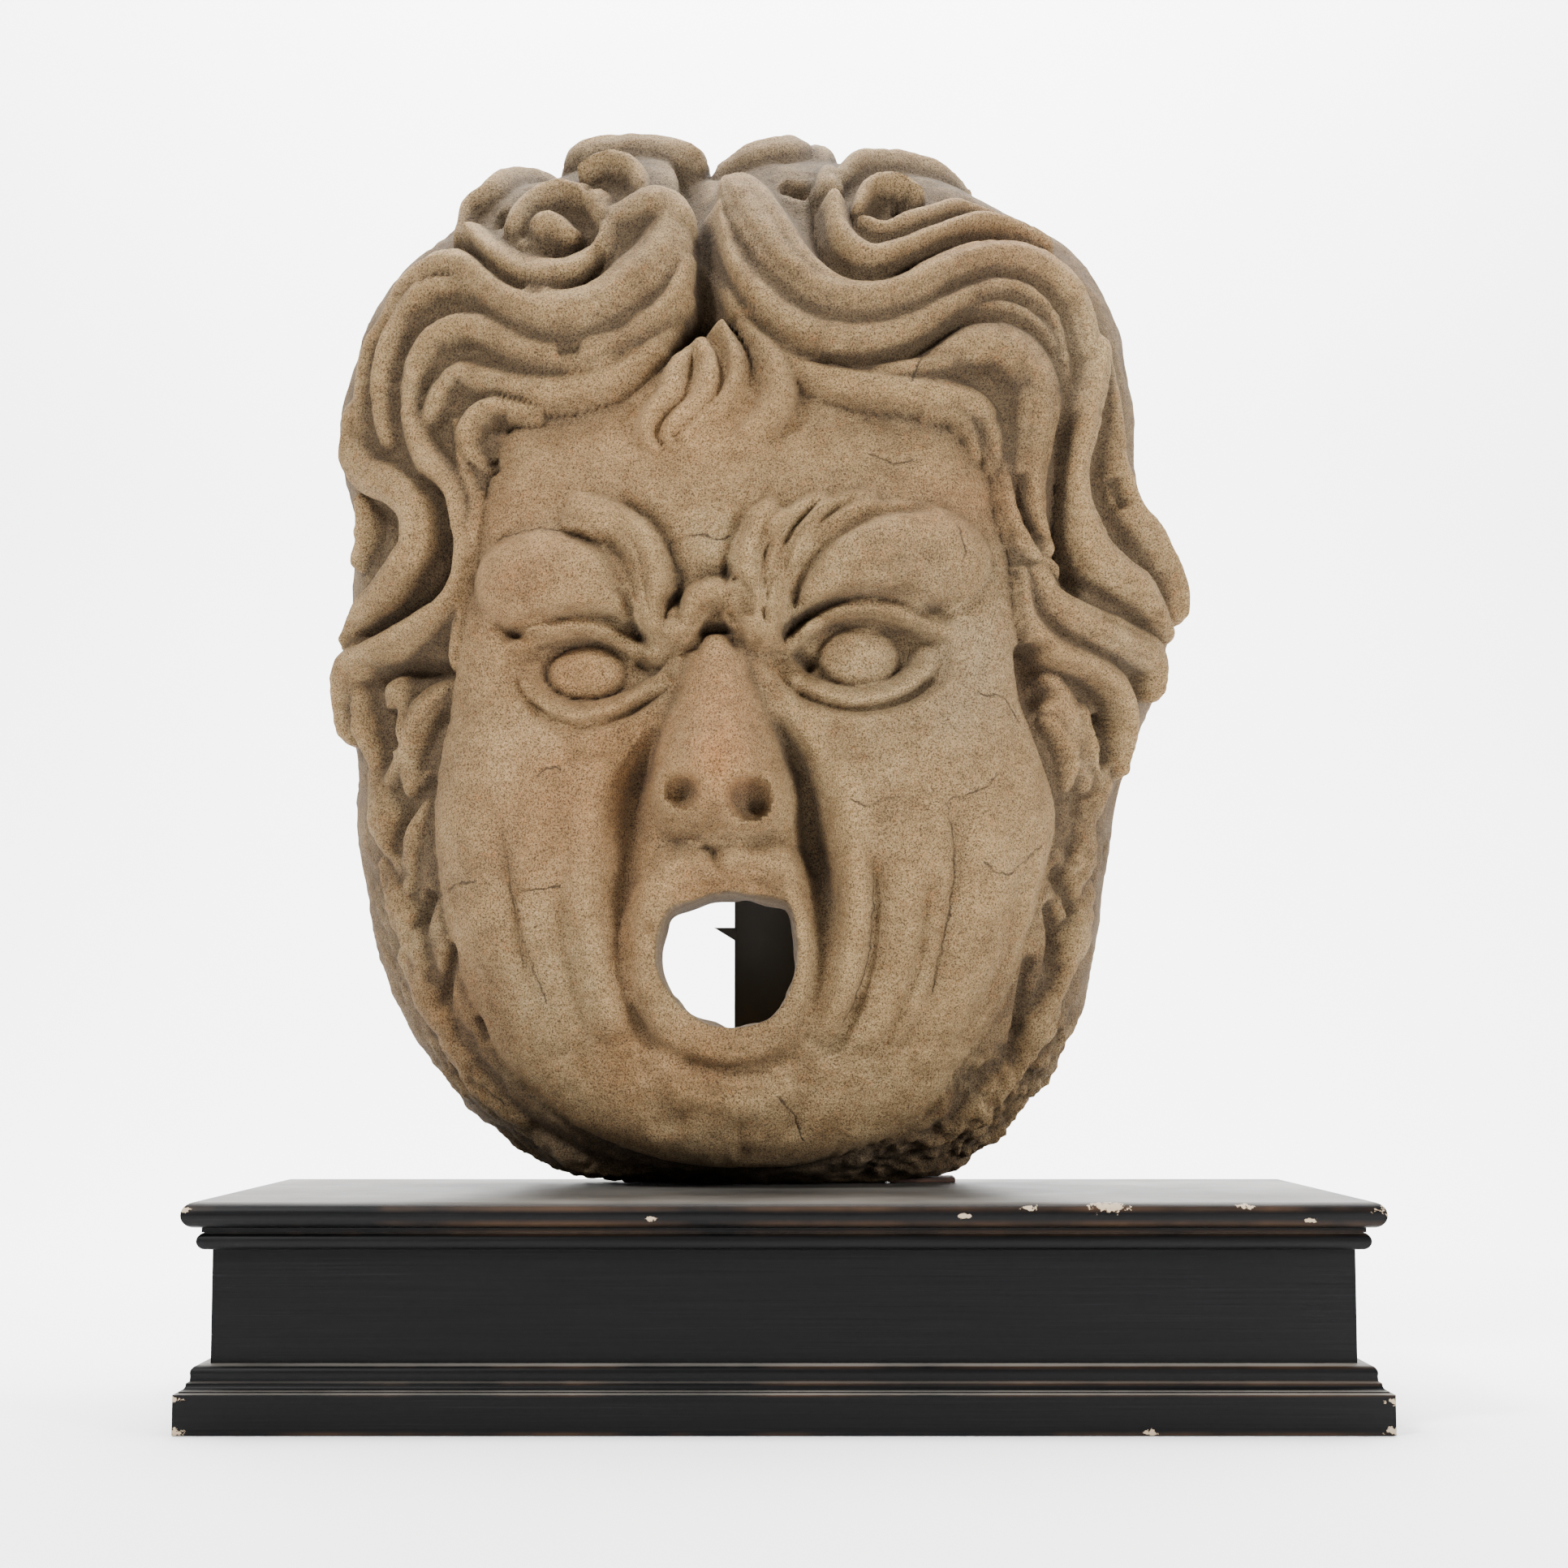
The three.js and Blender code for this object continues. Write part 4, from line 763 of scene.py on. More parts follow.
# %% Drilled and cut shadows
CUTS = [
    (11, -22, [(858, 190), (862, 235), (868, 275), (878, 325), (878, 375), (850, 400), (826, 435)]),
    (5, -12, [(683, 360), (720, 352), (748, 320)]),
    (4, -9, [(572, 300), (616, 345), (656, 366)]),
    (5, -10, [(643, 284), (670, 304), (714, 306), (744, 290)]),
    (6, -14, [(604, 262), (618, 258)]),
    (6, -13, [(1006, 232), (1010, 274), (1018, 314), (1045, 345), (1070, 349), (1100, 344), (1130, 325),
              (1190, 298), (1270, 294)]),
    (6, -18, [(1316, 505), (1311, 560), (1310, 620), (1318, 672), (1346, 730)]),
    (4, -11, [(1257, 582), (1261, 622), (1276, 652), (1296, 668)]),
    (5, -10, [(868, 258), (874, 292), (884, 322), (900, 356), (936, 402), (1000, 440), (1052, 451),
              (1110, 438), (1150, 421), (1188, 396), (1230, 398)]),
    (12, -16, [(1272, 790), (1284, 838), (1304, 868)]),
    (5, -12, [(1377, 585), (1384, 606), (1392, 624)]),
    (8, -15, [(440, 838), (462, 824), (500, 822), (545, 826)]),
    (8, -17, [(462, 872), (468, 925)]),
    (6, -17, [(514, 590), (539, 618), (547, 670), (536, 716), (492, 754), (434, 790)]),
    (5, -10, [(470, 655), (472, 675), (462, 690)]),
    (6, -13, [(525, 955), (500, 985), (476, 1028), (470, 1055)]),
    (5, -12, [(520, 1100), (500, 1152)]),
    (5, -9, [(550, 1165), (530, 1250)]),
    (4, -8, [(580, 1258), (590, 1292)]),
    (7, -13, [(1372, 885), (1372, 915), (1382, 942)]),
    (6, -11, [(1310, 1070), (1328, 1095), (1342, 1130)]),
    (6, -11, [(1300, 1112), (1318, 1150), (1318, 1198), (1310, 1228)]),
    (6, -10, [(1285, 1180), (1276, 1220), (1268, 1298)]),
    (5, -7, [(600, 520), (625, 516)]),
    (5, -8, [(596, 560), (606, 580)]),
    (4, -7, [(690, 440), (720, 437)]),
    (6, -12, [(728, 240), (742, 242)]),
    (6, -12, [(962, 222), (998, 230)]),
    (6, -18, [(1100, 250), (1118, 254)]),
    (4, -8, [(1180, 240), (1196, 248)]),
]
for half_width, depth, places in CUTS:
    line_form(height, half_width, depth, places, lift=14)
print("cuts", len(CUTS))

# %% [markdown]
# A worn surface is never smooth. A lattice of random values, blended between its corners, gives
# a wobble of any size, and the same seed always gives the same stone.

# %% Wear
def lattice(points, size, seed):
    scaled = points / size
    base = np.floor(scaled).astype(np.int64)
    frac = scaled - base
    frac = frac * frac * (3 - 2 * frac)
    total = np.zeros(len(points))
    for corner in range(8):
        step = np.array([corner & 1, corner >> 1 & 1, corner >> 2 & 1])
        key = (base + step) @ np.array([73856093, 19349663, 83492791]) + seed * 2654435761
        key = (key ^ (key >> 13)) * 1274126177 & 0x7FFFFFFF
        weight = np.prod(np.where(step, frac, 1 - frac), axis=1)
        total += weight * ((key >> 8) % 4096 / 2048 - 1)
    return total


WOBBLES = [(1.6, 46, 1), (1.1, 17, 2), (0.75, 7.5, 3)]
PIT_DEPTH, PIT_SIZE, PIT_THRESHOLD = 2.4, 11, 0.35
for amount, size, seed in WOBBLES:
    height += amount * lattice(P, size, seed)
height -= PIT_DEPTH * np.clip(lattice(P, PIT_SIZE, 8) - PIT_THRESHOLD, 0, 1)
print("wobbles", len(WOBBLES))

# %% [markdown]
# The lower corners have broken away and patches have flaked off. Each one is a shallow bowl with
# a rough floor.

# %% Broken corners and flakes
BROKEN = [
    ((1225, 1375), 60, 55, 8.0), ((1300, 1300), 45, 60, 5.0), ((660, 1425), 90, 28, 3.5),
    ((780, 1450), 70, 20, 5.0), ((1110, 1425), 70, 26, 6.0), ((560, 1340), 45, 50, 4.0),
    ((480, 1120), 30, 80, 4.0), ((1325, 1080), 28, 90, 3.5), ((1350, 940), 30, 60, 3.0),
    ((1215, 905), 34, 44, 1.6), ((650, 1120), 26, 34, 1.4),
]
rough_floor = 0.6 * lattice(P, 19, 5) + 0.5 * lattice(P, 8, 6) + 0.35 * lattice(P, 4, 7)
for place, radius_x, radius_z, depth in BROKEN:
    patch = swell(place, radius_x, radius_z, 1.0, fall=0.8, lift=0)
    height -= patch * depth * (0.35 + rough_floor)
print("breaks", len(BROKEN))

# %% [markdown]
# A crack is thinner than a cell of the mesh. The mesh gets only a soft furrow, and keeps how far
# each point lies from the line, so that the material can draw the line itself.

# %% Cracks
CRACKS = [
    [(613, 669), (630, 662), (650, 659), (676, 657), (704, 661)],
    [(822, 668), (845, 665), (870, 662), (887, 668), (903, 661)],
    [(1168, 652), (1174, 668), (1180, 690), (1176, 704)],
    [(1043, 985), (1056, 990), (1068, 994), (1082, 988), (1100, 983), (1118, 985)],
    [(1200, 850), (1212, 858), (1232, 858), (1246, 870), (1258, 892)],
    [(665, 965), (672, 952), (690, 944), (698, 950)],
    [(637, 1104), (660, 1096), (697, 1091)],
    [(649, 1112), (644, 1150), (650, 1196)],
    [(552, 1096), (570, 1088), (598, 1084)],
    [(1159, 985), (1186, 980), (1205, 972), (1226, 952)],
    [(1198, 1058), (1225, 1078), (1251, 1064), (1282, 1040)],
    [(957, 1335), (974, 1361), (992, 1396)],
    [(1139, 431), (1130, 456), (1119, 480)],
    [(1070, 560), (1100, 572), (1126, 566)],
    [(565, 1341), (590, 1354), (612, 1376)],
    [(1072, 1058), (1074, 1107), (1071, 1165), (1056, 1222), (1036, 1262)],
    [(1157, 984), (1166, 1033), (1168, 1091), (1159, 1156), (1145, 1230)],
    [(628, 1017), (634, 1074), (643, 1132), (661, 1189), (681, 1238)],
    [(1310, 590), (1312, 650), (1330, 700)],
]
CRACK_REACH = 9.0
CRACK_FURROW, CRACK_FURROW_WIDTH = 1.2, 3

crack_side = np.full(len(P), CRACK_REACH)
crack_near = np.zeros(len(P))
for places in CRACKS:
    near, gap, run, side = along(places, 14, CRACK_REACH)
    strength = np.clip(1 - gap / CRACK_REACH, 0, 1) * np.clip(np.minimum(run, 1 - run) * 12, 0, 1)
    closer = strength > crack_near[near]
    crack_side[near[closer]] = (gap * side)[closer]
    crack_near[near[closer]] = strength[closer]
    height[near] -= CRACK_FURROW * np.exp(-(gap / CRACK_FURROW_WIDTH) ** 2) * ends(run)
print("cracks", len(CRACKS))

# %% [markdown]
# The height is added along each point's own normal. The foot is flat, because the block stands on
# it, and the rim stays in the plane of the back.

# %% Carved surface
RIM_MARGIN = 0.4

carved = P + N * height[:, None]
on_rim = ring.reshape(-1) > 0.9999
carved[:, 1] = np.where(on_rim, BACK_Y, np.minimum(carved[:, 1], BACK_Y - RIM_MARGIN))
carved[:, 2] = np.maximum(carved[:, 2], FOOT_Z)
print("carved", np.round(carved.min(0)), np.round(carved.max(0)))

# %% [markdown]
# Two helpers turn shapes into pieces. One makes an object from a bmesh. The other lofts a solid
# through a row of rings: it fills the first ring and extrudes that face from ring to ring.

# %% Solid pieces from rings
def finished(name, bm, material, smooth_angle=None):
    mesh = bpy.data.meshes.new(name)
    bm.to_mesh(mesh)
    bm.free()
    piece = bpy.data.objects.new(name, mesh)
    bpy.context.collection.objects.link(piece)
    if smooth_angle:
        mesh.polygons.foreach_set("use_smooth", [True] * len(mesh.polygons))
        mesh.set_sharp_from_angle(angle=math.radians(smooth_angle))
    if material:
        mesh.materials.append(material)
        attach(piece, "root")
    return piece


def loft(rings):
    bm = bmesh.new()
    start = bmesh.ops.create_circle(bm, cap_ends=True, segments=len(rings[0]), radius=1)
    last = [Vector(place) * MM for place in rings[0]]
    for vert, place in zip(start["verts"], last):
        vert.co = place
    face_now = bm.faces[:][0]
    for ring_points in rings[1:]:
        moved = bmesh.ops.extrude_discrete_faces(bm, faces=[face_now])["faces"][0]
        places = [Vector(place) * MM for place in ring_points]
        targets = [min(range(len(last)), key=lambda k: (last[k] - vert.co).length) for vert in moved.verts]
        for vert, k in zip(moved.verts, targets):
            vert.co = places[k]
        face_now = moved
        last = places
    open_edges = [edge for edge in bm.edges if edge.is_boundary]
    if open_edges:
        bmesh.ops.holes_fill(bm, edges=open_edges, sides=0)
    bmesh.ops.recalc_face_normals(bm, faces=bm.faces)
    return bm


print("helpers: finished and loft")

# %% [markdown]
# The grid operator gives the skin with its faces already joined up. Its points are moved to the
# carved places and the rim is filled for the back.

# %% Block of stone
bm = bmesh.new()
bmesh.ops.create_grid(bm, x_segments=CELLS, y_segments=CELLS, size=1)
coords = np.array([vert.co[:2] for vert in bm.verts])
columns = np.rint((coords[:, 0] + 1) / 2 * CELLS).astype(int)
rows = np.rint((coords[:, 1] + 1) / 2 * CELLS).astype(int)
for vert, place in zip(bm.verts, carved[rows * (CELLS + 1) + columns] * MM):
    vert.co = place
bmesh.ops.holes_fill(bm, edges=[edge for edge in bm.edges if edge.is_boundary], sides=0)
bmesh.ops.recalc_face_normals(bm, faces=bm.faces)
block = finished("stone_block", bm, None)
print("block faces", len(block.data.polygons))

# %% [markdown]
# The hollow at the back takes the weight off and lets the pipe in. It is rough, so its rings are
# jittered a little. Each ring says how deep it lies and how far its wall has drawn in.

# %% Hollow at the back
HOLLOW = {"width": 370, "height": 500, "depth": 108, "centre_x": -18, "centre_z": 318}
HOLLOW_SQUARENESS = 0.62
HOLLOW_SIDES = 72
ROUGHNESS, ROUGH_SIZE = 3.0, 34

floor_y = BACK_Y - HOLLOW["depth"]


def squared(value):
    return np.sign(value) * abs(value) ** HOLLOW_SQUARENESS


def jitter(ring_points, amount, size, seed):
    noise = np.column_stack([lattice(ring_points, size, seed), lattice(ring_points, size, seed + 1)])
    ring_points[:, [0, 2]] += amount * noise
    return ring_points


def hollow_ring(y, inset, seed):
    turn = np.linspace(0, 2 * math.pi, HOLLOW_SIDES, endpoint=False)
    x = HOLLOW["centre_x"] + (HOLLOW["width"] / 2 - inset) * squared(np.cos(turn))
    z = FOOT_Z + HOLLOW["centre_z"] + (HOLLOW["height"] / 2 - inset) * squared(np.sin(turn))
    return jitter(np.column_stack([x, np.full_like(x, y), z]), ROUGHNESS, ROUGH_SIZE, seed)


HOLLOW_RINGS = [
    (BACK_Y + 6, 0, 11), (BACK_Y - 1, 0, 11), (BACK_Y - 40, 6, 12), (BACK_Y - 75, 15, 13),
    (floor_y + 6, 34, 14), (floor_y, 56, 15),
]
hollow_bm = loft([hollow_ring(*row) for row in HOLLOW_RINGS])
cutters = [finished("hollow_cutter", hollow_bm, None)]
print("hollow floor at y", round(floor_y, 1))

# %% [markdown]
# The mouth is drawn on the sheet, so from the front it has the right outline, and it runs
# through to the hollow. It is clean at the lip and ragged behind.

# %% Mouth
LIP_DEPTH = -60.0
MOUTH_MIDDLE = (896, 1183)
MOUTH_JITTER_SIZE = 13


def mouth_ring(y, scale, rough, seed):
    flat = from_sheet(*smooth_line(MOUTH_EDGE, closed=True, steps=4)[:-1].T, LIP_DEPTH)
    middle = from_sheet(*MOUTH_MIDDLE, LIP_DEPTH)
    ring_points = middle + (flat - middle) * scale
    ring_points[:, 1] = y
    return jitter(ring_points, rough, MOUTH_JITTER_SIZE, seed)


MOUTH_RINGS = [
    (-140, 1.14, 0, 21), (-64, 1.03, 0.8, 21), (-20, 1.01, 1.2, 23),
    (floor_y - 4, 0.99, 2.4, 25), (floor_y + 8, 1.04, 4.0, 27),
]
mouth_bm = loft([mouth_ring(*row) for row in MOUTH_RINGS])
cutters.append(finished("mouth_cutter", mouth_bm, None))
print("mouth passes", len(MOUTH_RINGS), "rings")

# %% [markdown]
# One corner of the foot doesn't reach the plinth, and a sliver of wood is pushed in there. Its
# notch is cut a little larger than the sliver.

# %% Notch for the packing
NOTCH_SIDE, NOTCH_BEHIND, NOTCH_ABOVE = 3, 4, 0.3
PAST_SIDE, PAST_BACK, PAST_FOOT = 40, 10, 5

wedge_low, wedge_high = box_in_mm("packing_wedge")
notch_rings = []
for x in (wedge_low[0] - NOTCH_SIDE, wedge_high[0] + PAST_SIDE):
    y0, y1, z1 = wedge_low[1] - NOTCH_BEHIND, BACK_Y + PAST_BACK, wedge_high[2] + NOTCH_ABOVE
    notch_rings.append([(x, y0, FOOT_Z - PAST_FOOT), (x, y1, FOOT_Z - PAST_FOOT), (x, y1, z1), (x, y0, z1)])
cutters.append(finished("notch_cutter", loft(notch_rings), None))
print("notch", round(wedge_high[2] + NOTCH_ABOVE - FOOT_Z, 1), "mm high")

# %% [markdown]
# The hollow, the mouth and the notch are cut out of the solid block with booleans, just as they
# were hewn. The manifold solver is fast on a closed mesh of this size.

# %% Cutting the block
for cutter in cutters:
    cut = block.modifiers.new(cutter.name, "BOOLEAN")
    cut.operation = "DIFFERENCE"
    cut.solver = "MANIFOLD"
    cut.object = cutter
graph = bpy.context.evaluated_depsgraph_get()
stone_mesh = bpy.data.meshes.new_from_object(block.evaluated_get(graph))
stone_mesh.name = "carved_stone"
for spare in cutters + [block]:
    bpy.data.objects.remove(spare)

bm = bmesh.new()
bm.from_mesh(stone_mesh)
bmesh.ops.triangulate(bm, faces=[many for many in bm.faces if len(many.verts) > 4])
open_edges = sum(1 for edge in bm.edges if not edge.is_manifold)
bm.to_mesh(stone_mesh)
bm.free()
triangles = sum(len(polygon.vertices) - 2 for polygon in stone_mesh.polygons)
print("stone triangles", triangles, "open edges", open_edges)

# %% [markdown]
# Dirt sits low and rubbing takes the crests, so the depth of each point against its neighbours is
# kept for the material. The same depth paints shade into the creases and the strand lines. Patches
# on the sheet add what the form doesn't explain: a forehead and cheeks painted pale, partly rubbed
# stone and partly painted light, brows and nose painted dark as painted shade, a little grime in the
# hair, the hair painted darker all over, iron stains and soot at the crown and the foot.

# %% Patches of stain, dirt, soot, painted light and painted shade
STAINS = [
    ((885, 890), 30, 60, 0.6), ((790, 930), 36, 40, 0.3), ((722, 830), 30, 22, 0.35),
    ((840, 530), 70, 40, 0.4), ((640, 700), 60, 90, 0.35), ((900, 960), 30, 25, 0.5),
    ((830, 1290), 60, 30, 0.4), ((1240, 300), 70, 30, 0.35), ((560, 1250), 30, 40, 0.35),
    ((1290, 840), 25, 60, 0.3), ((700, 990), 60, 70, 0.4), ((880, 1090), 60, 20, 0.4),
    ((1200, 620), 60, 30, 0.3), ((770, 1150), 14, 90, 0.4),
]
# Painted light, partly rubbed stone: these patches make the forehead, the cheeks and the right jaw paler.
RUBBED_AND_LIT = [
    ((900, 560), 130, 46, 0.45), ((1170, 1000), 70, 90, 0.3), ((1120, 1250), 60, 70, 0.35),
    ((640, 1000), 50, 70, 0.15),
]
# Painted shade under the brows and on the nose, and grime on the hair: these patches paint it darker.
PAINTED_SHADE_AND_GRIME = [
    ((1100, 690), 60, 40, 0.46), ((690, 712), 40, 30, 0.24), ((886, 900), 26, 50, 0.4),
    ((1290, 480), 60, 130, 0.14), ((1050, 360), 120, 30, 0.12),
]
SOOTY = [((1180, 840), 60, 60, 0.5), ((760, 1440), 120, 24, 0.9), ((1000, 1440), 120, 20, 0.9)]
SHEET_TO_MM = 0.6
CROWN_SOOT = 0.8
# The whole hair is painted darker by this amount.
HAIR_DARKENING = 0.5


def patch_field(patches):
    total = np.zeros(len(P))
    for (u, v), spread_x, spread_z, amount in patches:
        du = (SEEN[:, 0] - u) * SHEET_TO_MM / spread_x
        dv = (SEEN[:, 1] - v) * SHEET_TO_MM / spread_z
        total += amount * np.exp(-(du ** 2 + dv ** 2))
    return total


in_front = N[:, 1] < 0
fine_hollow = soften(height, 8) - height
wide_hollow = soften(height, 90) - height
# The deeper a point lies below its neighbours, the darker it is painted: dust, and painted shade in the
# creases and the strand lines of the hair.
fine_share = 0.05 + 0.10 * hair
hollow_field = np.clip(fine_share * fine_hollow + 0.04 * wide_hollow + HAIR_DARKENING * hair, -1, 1)
hollow_field += (patch_field(PAINTED_SHADE_AND_GRIME) - patch_field(RUBBED_AND_LIT)) * in_front
stain_field = patch_field(STAINS) * in_front
soot_field = fade(360, 200) * CROWN_SOOT + patch_field(SOOTY)
print("hollow from", round(float(hollow_field.min()), 2), "to", round(float(hollow_field.max()), 2))

# %% [markdown]
# The booleans have renumbered the points, so each point of the finished mesh looks up the nearest
# carved point in a tree. Points of the hollow, the mouth and the flat back have none close by, and
# get an even tone, dark enough to paint shade on the walls of the mouth and the hollow.

# %% Attributes on the stone
SAME_PLACE = 0.6
BACK_MARGIN = 0.1
# Painted shade for the walls of the mouth and the hollow, which have no carved point near.
UNCARVED_SHADE = 0.42

tree = KDTree(len(carved))
for index, place in enumerate(carved * MM):
    tree.insert(place, index)
tree.balance()
nearest = [tree.find(vert.co) for vert in stone_mesh.vertices]
picked = np.array([found[1] for found in nearest])
in_back_plane = np.array([vert.co.y > (BACK_Y - BACK_MARGIN) * MM for vert in stone_mesh.vertices])
uncarved = in_back_plane | (np.array([found[2] for found in nearest]) > SAME_PLACE * MM)
FIELDS = {
    "hollow": (hollow_field, UNCARVED_SHADE), "stain": (stain_field, 0.0), "grey": (soot_field, 0.0),
    "crack_side": (crack_side, CRACK_REACH), "crack_near": (crack_near, 0.0),
}
for name, (field, elsewhere) in FIELDS.items():
    layer = stone_mesh.attributes.new(name, "FLOAT", "POINT")
    layer.data.foreach_set("value", np.where(uncarved, elsewhere, field[picked]).astype(np.float32))
print("carved points", int((~uncarved).sum()), "others", int(uncarved.sum()))

# %% [markdown]
# Weathered sandstone: grains of quartz and feldspar bound by clay and iron, cut with a point and
# a claw and then rained on for centuries. Fresh grain is pale buff. Big soft clouds of tone come
# from the bed it was cut from, and iron stains it ochre in small spots.

# %% Sandstone colour
STONE_CLOUD, STONE_PATCH, STONE_SPOT = 90, 22, 6

stone_material, stone_tree, stone_output, where = new_material("weathered_sandstone")
cloud = add(stone_tree, "TexNoise", Vector=where, Scale=cycles(STONE_CLOUD), Detail=5.0, Roughness=0.6)
patches = add(stone_tree, "TexNoise", Vector=where, Scale=cycles(STONE_PATCH), Detail=4.0, Roughness=0.65)
ochre = add(stone_tree, "TexNoise", Vector=where, Scale=cycles(STONE_SPOT), Detail=5.0, Roughness=0.7)
buff = add(stone_tree, "ValToRGB", Fac=cloud, stops=[
    (0.3, linear("#857052")), (0.5, linear("#a08762")), (0.72, linear("#b9a179"))])
patch_tone = add(stone_tree, "ValToRGB", Fac=patches, stops=[
    (0.32, linear("#c4b5a2")), (0.6, linear("#ffffff"))])
mottled = add(stone_tree, "Mix", TINT, Factor=0.55, A=buff, B=patch_tone)
ochre_amount = add(stone_tree, "ValToRGB", Fac=ochre, stops=[(0.52, level(0.0)), (0.72, level(0.4))])
tinted = add(stone_tree, "Mix", COLOUR, Factor=ochre_amount, A=mottled, B=linear("#b98250"))
print("stone clouds", STONE_CLOUD, "mm, patches", STONE_PATCH, "mm, spots", STONE_SPOT, "mm")

# %% [markdown]
# The amounts kept on the mesh now lay on iron stain, grey soot at the crown and foot, dark dust
# and painted shade in the hollows and creases, and pale rubbed stone and painted light on the
# crests and the pale patches. Noise breaks up the stain and the soot, so no edge of a patch can be
# seen.

# %% Stains, soot, dust with painted shade, rubbing with painted light
stain = add(stone_tree, "Attribute", {"attribute_name": "stain"})
stain_break = add(stone_tree, "ValToRGB", Fac=patches, stops=[(0.3, level(0.35)), (0.65, level(1.0))])
stain_amount = add(stone_tree, "Math", {"operation": "MULTIPLY", "use_clamp": True},
                   Value=[stain.outputs["Fac"], stain_break])
stained = add(stone_tree, "Mix", COLOUR, Factor=stain_amount, A=tinted, B=linear("#b07c4c"))
soot = add(stone_tree, "Attribute", {"attribute_name": "grey"})
soot_break = add(stone_tree, "ValToRGB", Fac=cloud, stops=[(0.35, level(0.4)), (0.6, level(1.0))])
soot_amount = add(stone_tree, "Math", {"operation": "MULTIPLY", "use_clamp": True},
                  Value=[soot.outputs["Fac"], soot_break])
sooty = add(stone_tree, "Mix", COLOUR, Factor=soot_amount, A=stained, B=linear("#82745f"))
hollow = add(stone_tree, "Attribute", {"attribute_name": "hollow"})
# Dust and painted shade: the hollow amount darkens the creases, the hollows and the shaded patches.
dust_and_shade_amount = add(stone_tree, "ValToRGB", Fac=hollow.outputs["Fac"], stops=[
    (0.1, level(0.0)), (0.75, level(0.72))])
dust_and_painted_light = add(stone_tree, "Mix", COLOUR, Factor=dust_and_shade_amount, A=sooty, B=linear("#453a2e"))
# Rubbing and painted light: the crests and the pale patches are painted lighter.
rub_and_light_amount = add(stone_tree, "MapRange", {"clamp": True}, Value=hollow.outputs["Fac"],
                 From_Min=-0.05, From_Max=-0.5, To_Min=0.0, To_Max=0.3)
rubbed_and_lit = add(stone_tree, "Mix", COLOUR, Factor=rub_and_light_amount, A=dust_and_painted_light, B=linear("#c4a474"))
print("stone layers stain, soot, dust, rubbing")

# %% [markdown]
# The stone was laid down in thin beds, which show as faint bands a few millimetres high. Over
# them lies the grain. Its real size is under half a millimetre, too fine to show from here, so it
# is drawn at about one millimetre, with a cell pattern for the larger dark grains.

# %% Beds and grain
BED_LENGTH, BED_HEIGHT, BED_TILT = 13, 4.3, 0.2
GRAIN, DARK_GRAIN = 1.1, 1.9

across_beds = add(stone_tree, "Mapping", Vector=where, Rotation=(0.0, BED_TILT, 0.0),
                  Scale=(cycles(BED_LENGTH), cycles(BED_LENGTH), cycles(BED_HEIGHT)))
beds = add(stone_tree, "TexNoise", Vector=across_beds, Scale=1.0, Detail=4.0, Roughness=0.7)
bed_tone = add(stone_tree, "ValToRGB", Fac=beds, stops=[(0.36, linear("#a3998c")), (0.58, linear("#ffffff"))])
bedded = add(stone_tree, "Mix", TINT, Factor=0.3, A=rubbed_and_lit, B=bed_tone)
grain = add(stone_tree, "TexNoise", Vector=where, Scale=cycles(GRAIN), Detail=2.0, Roughness=0.6)
grain_tone = add(stone_tree, "ValToRGB", Fac=grain, stops=[
    (0.34, linear("#5f564d")), (0.5, linear("#d9d4cd")), (0.66, linear("#ffffff"))])
grained = add(stone_tree, "Mix", TINT, Factor=0.9, A=bedded, B=grain_tone)
speck = add(stone_tree, "TexVoronoi", Vector=where, Scale=cycles(DARK_GRAIN))
speck_tone = add(stone_tree, "ValToRGB", Fac=speck.outputs["Distance"], stops=[
    (0.05, level(0.62)), (0.3, level(1.0))])
specked = add(stone_tree, "Mix", TINT, Factor=0.35, A=grained, B=speck_tone)
print("beds", BED_HEIGHT, "mm high, grain drawn at", GRAIN, "mm")

# %% [markdown]
# A crack is a line about a millimetre wide. The mesh knows how far each point lies from the
# line and on which side, so the material can draw it thinner than the mesh's own cells and let it
# wander.

# %% Crack lines
CRACK_WANDER, WANDER_LENGTH = 7.0, 9
CRACK_CORE, CRACK_HALF_WIDTH = 0.1, 1.0

wander = add(stone_tree, "TexNoise", Vector=where, Scale=cycles(WANDER_LENGTH), Detail=3.0)
side_of_crack = add(stone_tree, "Attribute", {"attribute_name": "crack_side"})
near_crack = add(stone_tree, "Attribute", {"attribute_name": "crack_near"})
wandering = add(stone_tree, "Math", {"operation": "MULTIPLY_ADD"},
                Value=[wander, CRACK_WANDER, side_of_crack.outputs["Fac"]])
centred = add(stone_tree, "Math", {"operation": "SUBTRACT"}, Value=[wandering, CRACK_WANDER / 2])
from_crack = add(stone_tree, "Math", {"operation": "ABSOLUTE"}, Value=centred)
crack_line = add(stone_tree, "MapRange", {"clamp": True}, Value=from_crack,
                 From_Min=CRACK_CORE, From_Max=CRACK_HALF_WIDTH, To_Min=1.0, To_Max=0.0)
crack_reach = add(stone_tree, "MapRange", {"clamp": True}, Value=near_crack.outputs["Fac"],
                  From_Min=0.1, From_Max=0.4, To_Min=0.0, To_Max=1.0)
crack_break = add(stone_tree, "ValToRGB", Fac=patches, stops=[(0.4, level(0.25)), (0.55, level(0.85))])
crack_shown = add(stone_tree, "Math", {"operation": "MULTIPLY"}, Value=[crack_reach, crack_break])
crack = add(stone_tree, "Math", {"operation": "MULTIPLY"}, Value=[crack_line, crack_shown])
cracked = add(stone_tree, "Mix", COLOUR, Factor=crack, A=specked, B=linear("#3a2f24"))
print("cracks up to", 2 * CRACK_HALF_WIDTH, "mm wide")

# %% [markdown]
# The bump follows the same order as the real surface: soft dents from weathering, pits where
# grains fell out, the grain itself and the sunk crack lines. Dry stone is nearly matt, so the
# roughness is high and the reflection weak.

